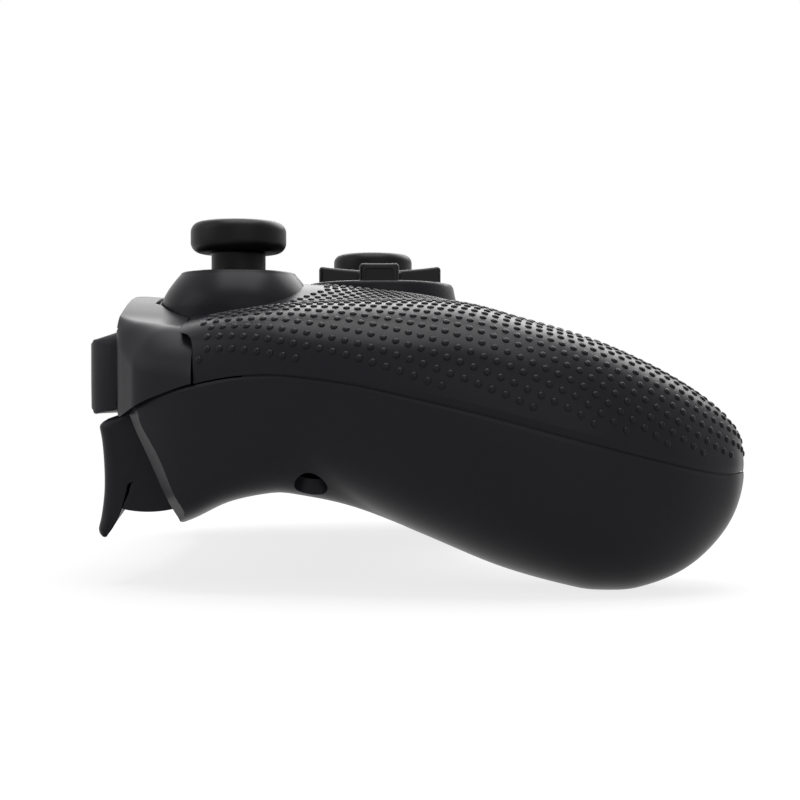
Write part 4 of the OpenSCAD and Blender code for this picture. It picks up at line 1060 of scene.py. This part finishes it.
class GAMEPAD_OT_sticks(Operator):
    """Turns the two thumbstick caps with their stems and skirts"""
    bl_idname = "gamepad.sticks"
    bl_label = "Thumbsticks"

    def execute(self, context):
        r, corner, thick, stem_r, bore_r = 7.95, 1.8, 5.2, 4.5, 2.0
        dome, inner, skirt = 10.0, 8.8, 75
        start = math.degrees(math.asin(stem_r / dome))
        for name, _ in SIDES:
            at, top, z = spot(f"{name}_stick_cap"), top_of(f"{name}_stick_cap"), STICK_PIVOT_Z
            profile = [(0, top - 0.9), (2, top - 0.85), (3.6, top - 0.66), (4.8, top - 0.32),
                       (5.4, top - 0.1), (5.9, top)]
            profile += arc((r - corner, top - corner), corner, 86, 4, 14)
            under = top - thick
            profile += arc((r - corner, under + corner), corner, -4, -84, 14)
            profile += [(stem_r + 0.45, under), (stem_r + 0.15, under - 0.1), (stem_r, under - 0.45)]
            profile += [(stem_r, z + dome * math.cos(math.radians(start)) + 0.3)]
            profile += dome_line(dome, start + 1, skirt, 16) + dome_line(inner, skirt, 24, 8)
            profile += [(bore_r + 1.3, z + 7), (bore_r + 1.3, z + 6), (bore_r, z + 6), (bore_r, top - 4.5),
                        (0, top - 4.5)]
            cap = revolve(f"{name}_stick_top", profile, 96, at)
            complete(cap, f"{name}_stick", stick_rubber(), [f"{name}_stick_cap"])
        return {"FINISHED"}


class GAMEPAD_OT_dpad(Operator):
    """Builds the dished D-pad cross with rounded edges and stepped arm ends"""
    bl_idname = "gamepad.dpad"
    bl_label = "D-pad"

    def execute(self, context):
        half, arm, dish = DPAD_HALF, DPAD_ARM, 0.8
        at, top, foot = spot("dpad_cross"), top_of("dpad_cross"), 44.2
        ticks = list(np.linspace(0, arm, 5)) + list(np.linspace(arm, half, 9))[1:]
        ticks = [-v for v in ticks[:0:-1]] + ticks
        curve = half ** 2 / (2 * dish)
        n = len(ticks)
        points, index, cells = [], {}, []

        def corner(i, j, level):
            x, y = ticks[i], ticks[j]
            if (i, j, level) not in index:
                index[i, j, level] = len(points)
                face = top - dish + (x * x + y * y) / (2 * curve)
                points.append((at.x + x, at.y + y, face if level else foot))
            return index[i, j, level]

        def inside(i, j):
            if not (0 <= i < n - 1 and 0 <= j < n - 1):
                return False
            return min(abs(ticks[i] + ticks[i + 1]), abs(ticks[j] + ticks[j + 1])) / 2 < arm

        for i in range(n - 1):
            for j in range(n - 1):
                if not inside(i, j):
                    continue
                loop = [(i, j), (i + 1, j), (i + 1, j + 1), (i, j + 1)]
                cells.append([corner(a, b, 1) for a, b in loop])
                cells.append([corner(a, b, 0) for a, b in loop[::-1]])
                for k, near in enumerate([(i, j - 1), (i + 1, j), (i, j + 1), (i - 1, j)]):
                    if not inside(*near):
                        p, q = loop[k], loop[(k + 1) % 4]
                        cells.append([corner(*p, 0), corner(*q, 0), corner(*q, 1), corner(*p, 1)])
        cross = soften(mesh_piece("dpad_key", points, cells), 0.7, 4, 40)
        border = 0.95
        wide, high, low = arm - border, top - border, PEDESTAL_Z - 0.6
        for k in range(4):
            step = rounded([(-wide, low), (wide, low), (wide, high), (-wide, high)], 0.55, 6)
            pocket = prism("end_step", step, half - 0.5, half + 2)
            turned = Matrix.Rotation(math.radians(90 * k), 4, "Z")
            pocket.data.transform(Matrix.Translation((at.x, at.y, 0)) @ turned)
            combine(cross, pocket)
        combine(cross, cylinder("flange", half - 0.2, foot, foot + 1.2, 64, at), "UNION")
        for u, v in ((0, 8), (8, 0), (0, -8), (-8, 0)):
            combine(cross, cylinder("foot", 1.5, 38, 45, 32, (at.x + u, at.y + v)), "UNION")
        combine(cross, cylinder("seat", 1.6, 43.2, 47.2, 32, at))
        complete(cross, "dpad", button_plastic(), ["dpad_cross"])
        return {"FINISHED"}


class GAMEPAD_OT_buttons(Operator):
    """Turns the round buttons of the face"""
    bl_idname = "gamepad.buttons"
    bl_label = "Buttons"

    def execute(self, context):
        # Share of a button's radius that is only slightly domed.
        flat = 0.86
        for node in BUTTONS + ("guide_button",):
            at, top, foot = spot(node), top_of(node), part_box(node)[0].z / MM
            flange = half_width(node)
            r = flange - FLANGE
            crown = 1.5 if node.startswith("button_") else 0.8
            profile = [(0, foot), (flange, foot), (flange, foot + 1.2), (r, foot + 1.2), (r, top - crown)]
            for a in np.linspace(8, 90, 12):
                u = math.radians(a)
                profile.append((r * (flat + 0.14 * math.cos(u)), top - crown + crown * 0.72 * math.sin(u)))
            for q in (0.7, 0.5, 0.3, 0.15):
                profile.append((r * q, top - crown * 0.28 * (q / flat) ** 2))
            profile.append((0, top))
            key = revolve(f"{node}_key", profile, 72, at)
            complete(key, node, button_plastic(), [node])
        return {"FINISHED"}


class GAMEPAD_OT_inside(Operator):
    """Gives the solids that stay as they are their finishes"""
    bl_idname = "gamepad.inside"
    bl_label = "Inner pieces"

    def execute(self, context):
        c = colours()
        made = {
            # Silicone rubber, pressed: grey and dull.
            "dome_rubber": plastic("pressed_silicone", linear("#6d6d73"), 0.6, 0.8, 0.004, 0.3),
            # Milky polycarbonate light pipe, not lit: pale grey and smooth.
            "light_pipe": plastic("clear_polycarbonate", linear("#b4b4b8"), 0.22, 0.6, 0.001, 0.5),
            # Glass-fibre board under green solder mask.
            "circuit_board": plastic("solder_mask", c.board, 0.3, 1.2, 0.008, 0.5),
            # Heat-shrunk film over a flat cell.
            "battery_wrap": plastic("shrink_film", c.wrap, 0.35, 2.0, 0.01, 0.45),
            # Nickel-plated steel.
            "steel": metal("nickel_plated_steel", linear("#b9b9bc"), 0.28),
            # Acetal, dark grey, from a plain tool.
            "inner_plastic": plastic("moulded_acetal", linear("#2b2b2f"), 0.4, 0.5, 0.004, 0.35),
            "button_plastic": button_plastic(),
            "control_plastic": shoulder_plastic(),
            "bezel_plastic": shoulder_plastic(),
            "shell_plastic": shell_plastic(),
            "stick_rubber": stick_rubber(),
        }
        for part in frame["record"]["subparts"]:
            node = frame["nodes"][part["node"]]
            if node.hide_render:
                continue
            node.data.materials.clear()
            node.data.materials.append(made[part["material_slot"]])
        return {"FINISHED"}


CAMERA_AT, CAMERA_LENS = (-0.300, 0.00205, 0.0292), 70.6
ROOM_LIGHT = 0.3
WHITE = (1, 1, 1, 1)
# Lamps: name, place, what it faces, width and height in metres, power in watts.
LAMPS = [
    ("overhead_softbox", (-0.05, 0.0, 0.6), (0, 0, 0.03), (0.45, 0.45), 3.4),
    ("far_softbox", (0.42, -0.12, 0.42), (0, -0.02, 0.04), (0.7, 0.4), 3.2),
    ("front_softbox", (-0.2, 0.6, 0.35), (0, 0.02, 0.04), (0.4, 0.5), 0.9),
    ("camera_fill", (-0.7, -0.2, 0.3), (0, 0, 0.03), (0.6, 0.6), 0.8),
]


def area_light(name, at, look, size, power):
    data = bpy.data.lights.new(name, "AREA")
    data.shape, data.size, data.size_y, data.energy = "RECTANGLE", size[0], size[1], power
    lamp = bpy.data.objects.new(name, data)
    lamp.location = at
    lamp.rotation_euler = (Vector(look) - Vector(at)).to_track_quat("-Z", "Y").to_euler()
    bpy.context.scene.collection.objects.link(lamp)


def any_ray(tree, *kinds):
    """1 for a ray of one of these kinds, else 0."""
    path = add(tree, "ShaderNodeLightPath").outputs
    found = path[kinds[0]]
    for kind in kinds[1:]:
        found = add(tree, "ShaderNodeMath", {0: found, 1: path[kind]}, operation="MAXIMUM").outputs["Value"]
    return found


class GAMEPAD_OT_stage(Operator):
    """Sets the floor, the light and the camera"""
    bl_idname = "gamepad.stage"
    bl_label = "Stage"

    def execute(self, context):
        scene = context.scene
        scene.view_settings.view_transform = "Standard"
        data = bpy.data.cameras.new("photo_camera")
        data.lens, data.sensor_width, data.clip_start, data.clip_end = CAMERA_LENS, 36.0, 0.01, 100.0
        camera = bpy.data.objects.new("photo_camera", data)
        camera.location = CAMERA_AT
        camera.rotation_euler = (math.radians(90), 0, math.radians(-90))
        scene.collection.objects.link(camera)
        scene.camera = camera

        world = bpy.data.worlds.new("studio")
        scene.world = world
        world.use_nodes = True
        tree = world.node_tree
        tree.nodes.clear()
        seen = any_ray(tree, "Is Camera Ray", "Is Glossy Ray", "Is Transmission Ray")
        room = add(tree, "ShaderNodeBackground", {"Color": WHITE, "Strength": ROOM_LIGHT})
        white = add(tree, "ShaderNodeBackground", {"Color": WHITE, "Strength": 1.0})
        both = add(tree, "ShaderNodeMixShader", {
            0: seen, 1: room.outputs["Background"], 2: white.outputs["Background"]})
        add(tree, "ShaderNodeOutputWorld", {"Surface": both.outputs["Shader"]})

        mesh = bpy.data.meshes.new("floor")
        far = 6.0
        mesh.from_pydata([(-far, -far, 0), (far, -far, 0), (far, far, 0), (-far, far, 0)], [], [(0, 1, 2, 3)])
        floor = bpy.data.objects.new("floor", mesh)
        scene.collection.objects.link(floor)
        # Matt white paper, which goes over into the white room and keeps the shadow near the pad.
        paper = new_material("studio_floor")
        tree = paper.node_tree
        matt = add(tree, "ShaderNodeBsdfDiffuse", {"Color": colours().floor}).outputs["BSDF"]
        glow = add(tree, "ShaderNodeEmission", {"Color": WHITE, "Strength": 1.0})
        place = add(tree, "ShaderNodeTexCoord").outputs["Object"]
        away = add(tree, "ShaderNodeVectorMath", {0: place}, operation="LENGTH")
        share = add(tree, "ShaderNodeMapRange", {
            "Value": away.outputs["Value"], "From Min": 0.08, "From Max": 0.25, "To Min": 0.8, "To Max": 1.0})
        lit = add(tree, "ShaderNodeMixShader", {
            0: share.outputs["Result"], 1: matt, 2: glow.outputs["Emission"]})
        seen = any_ray(tree, "Is Camera Ray", "Is Glossy Ray")
        shown = add(tree, "ShaderNodeMixShader", {0: seen, 1: matt, 2: lit.outputs["Shader"]})
        add(tree, "ShaderNodeOutputMaterial", {"Surface": shown.outputs["Shader"]})
        mesh.materials.append(paper)

        for lamp in LAMPS:
            area_light(*lamp)
        return {"FINISHED"}


class GAMEPAD_PT_panel(Panel):
    """Lists the steps that build the gamepad"""
    bl_idname = "GAMEPAD_PT_panel"
    bl_label = "Gamepad"
    bl_space_type = "VIEW_3D"
    bl_region_type = "UI"
    bl_category = "Gamepad"

    def draw(self, context):
        for group in (context.scene.gamepad_sizes, context.scene.gamepad_colours):
            for key in group.__annotations__:
                self.layout.prop(group, key)
        for step in STEPS:
            self.layout.operator(step.bl_idname)


STEPS = (GAMEPAD_OT_stage, GAMEPAD_OT_top_cover, GAMEPAD_OT_bottom_cover, GAMEPAD_OT_seam_lip,
         GAMEPAD_OT_grip_dots, GAMEPAD_OT_shoulders, GAMEPAD_OT_bumpers, GAMEPAD_OT_triggers,
         GAMEPAD_OT_sticks, GAMEPAD_OT_dpad, GAMEPAD_OT_buttons, GAMEPAD_OT_inside)
CLASSES = (GamepadSizes, GamepadColours) + STEPS + (GAMEPAD_PT_panel,)


def register():
    for cls in CLASSES:
        bpy.utils.register_class(cls)
    bpy.types.Scene.gamepad_sizes = PointerProperty(type=GamepadSizes)
    bpy.types.Scene.gamepad_colours = PointerProperty(type=GamepadColours)


def unregister():
    del bpy.types.Scene.gamepad_colours
    del bpy.types.Scene.gamepad_sizes
    for cls in reversed(CLASSES):
        bpy.utils.unregister_class(cls)


def main():
    register()
    for step in STEPS:
        group, name = step.bl_idname.split(".")
        getattr(getattr(bpy.ops, group), name)()


if __name__ == "__main__":
    main()
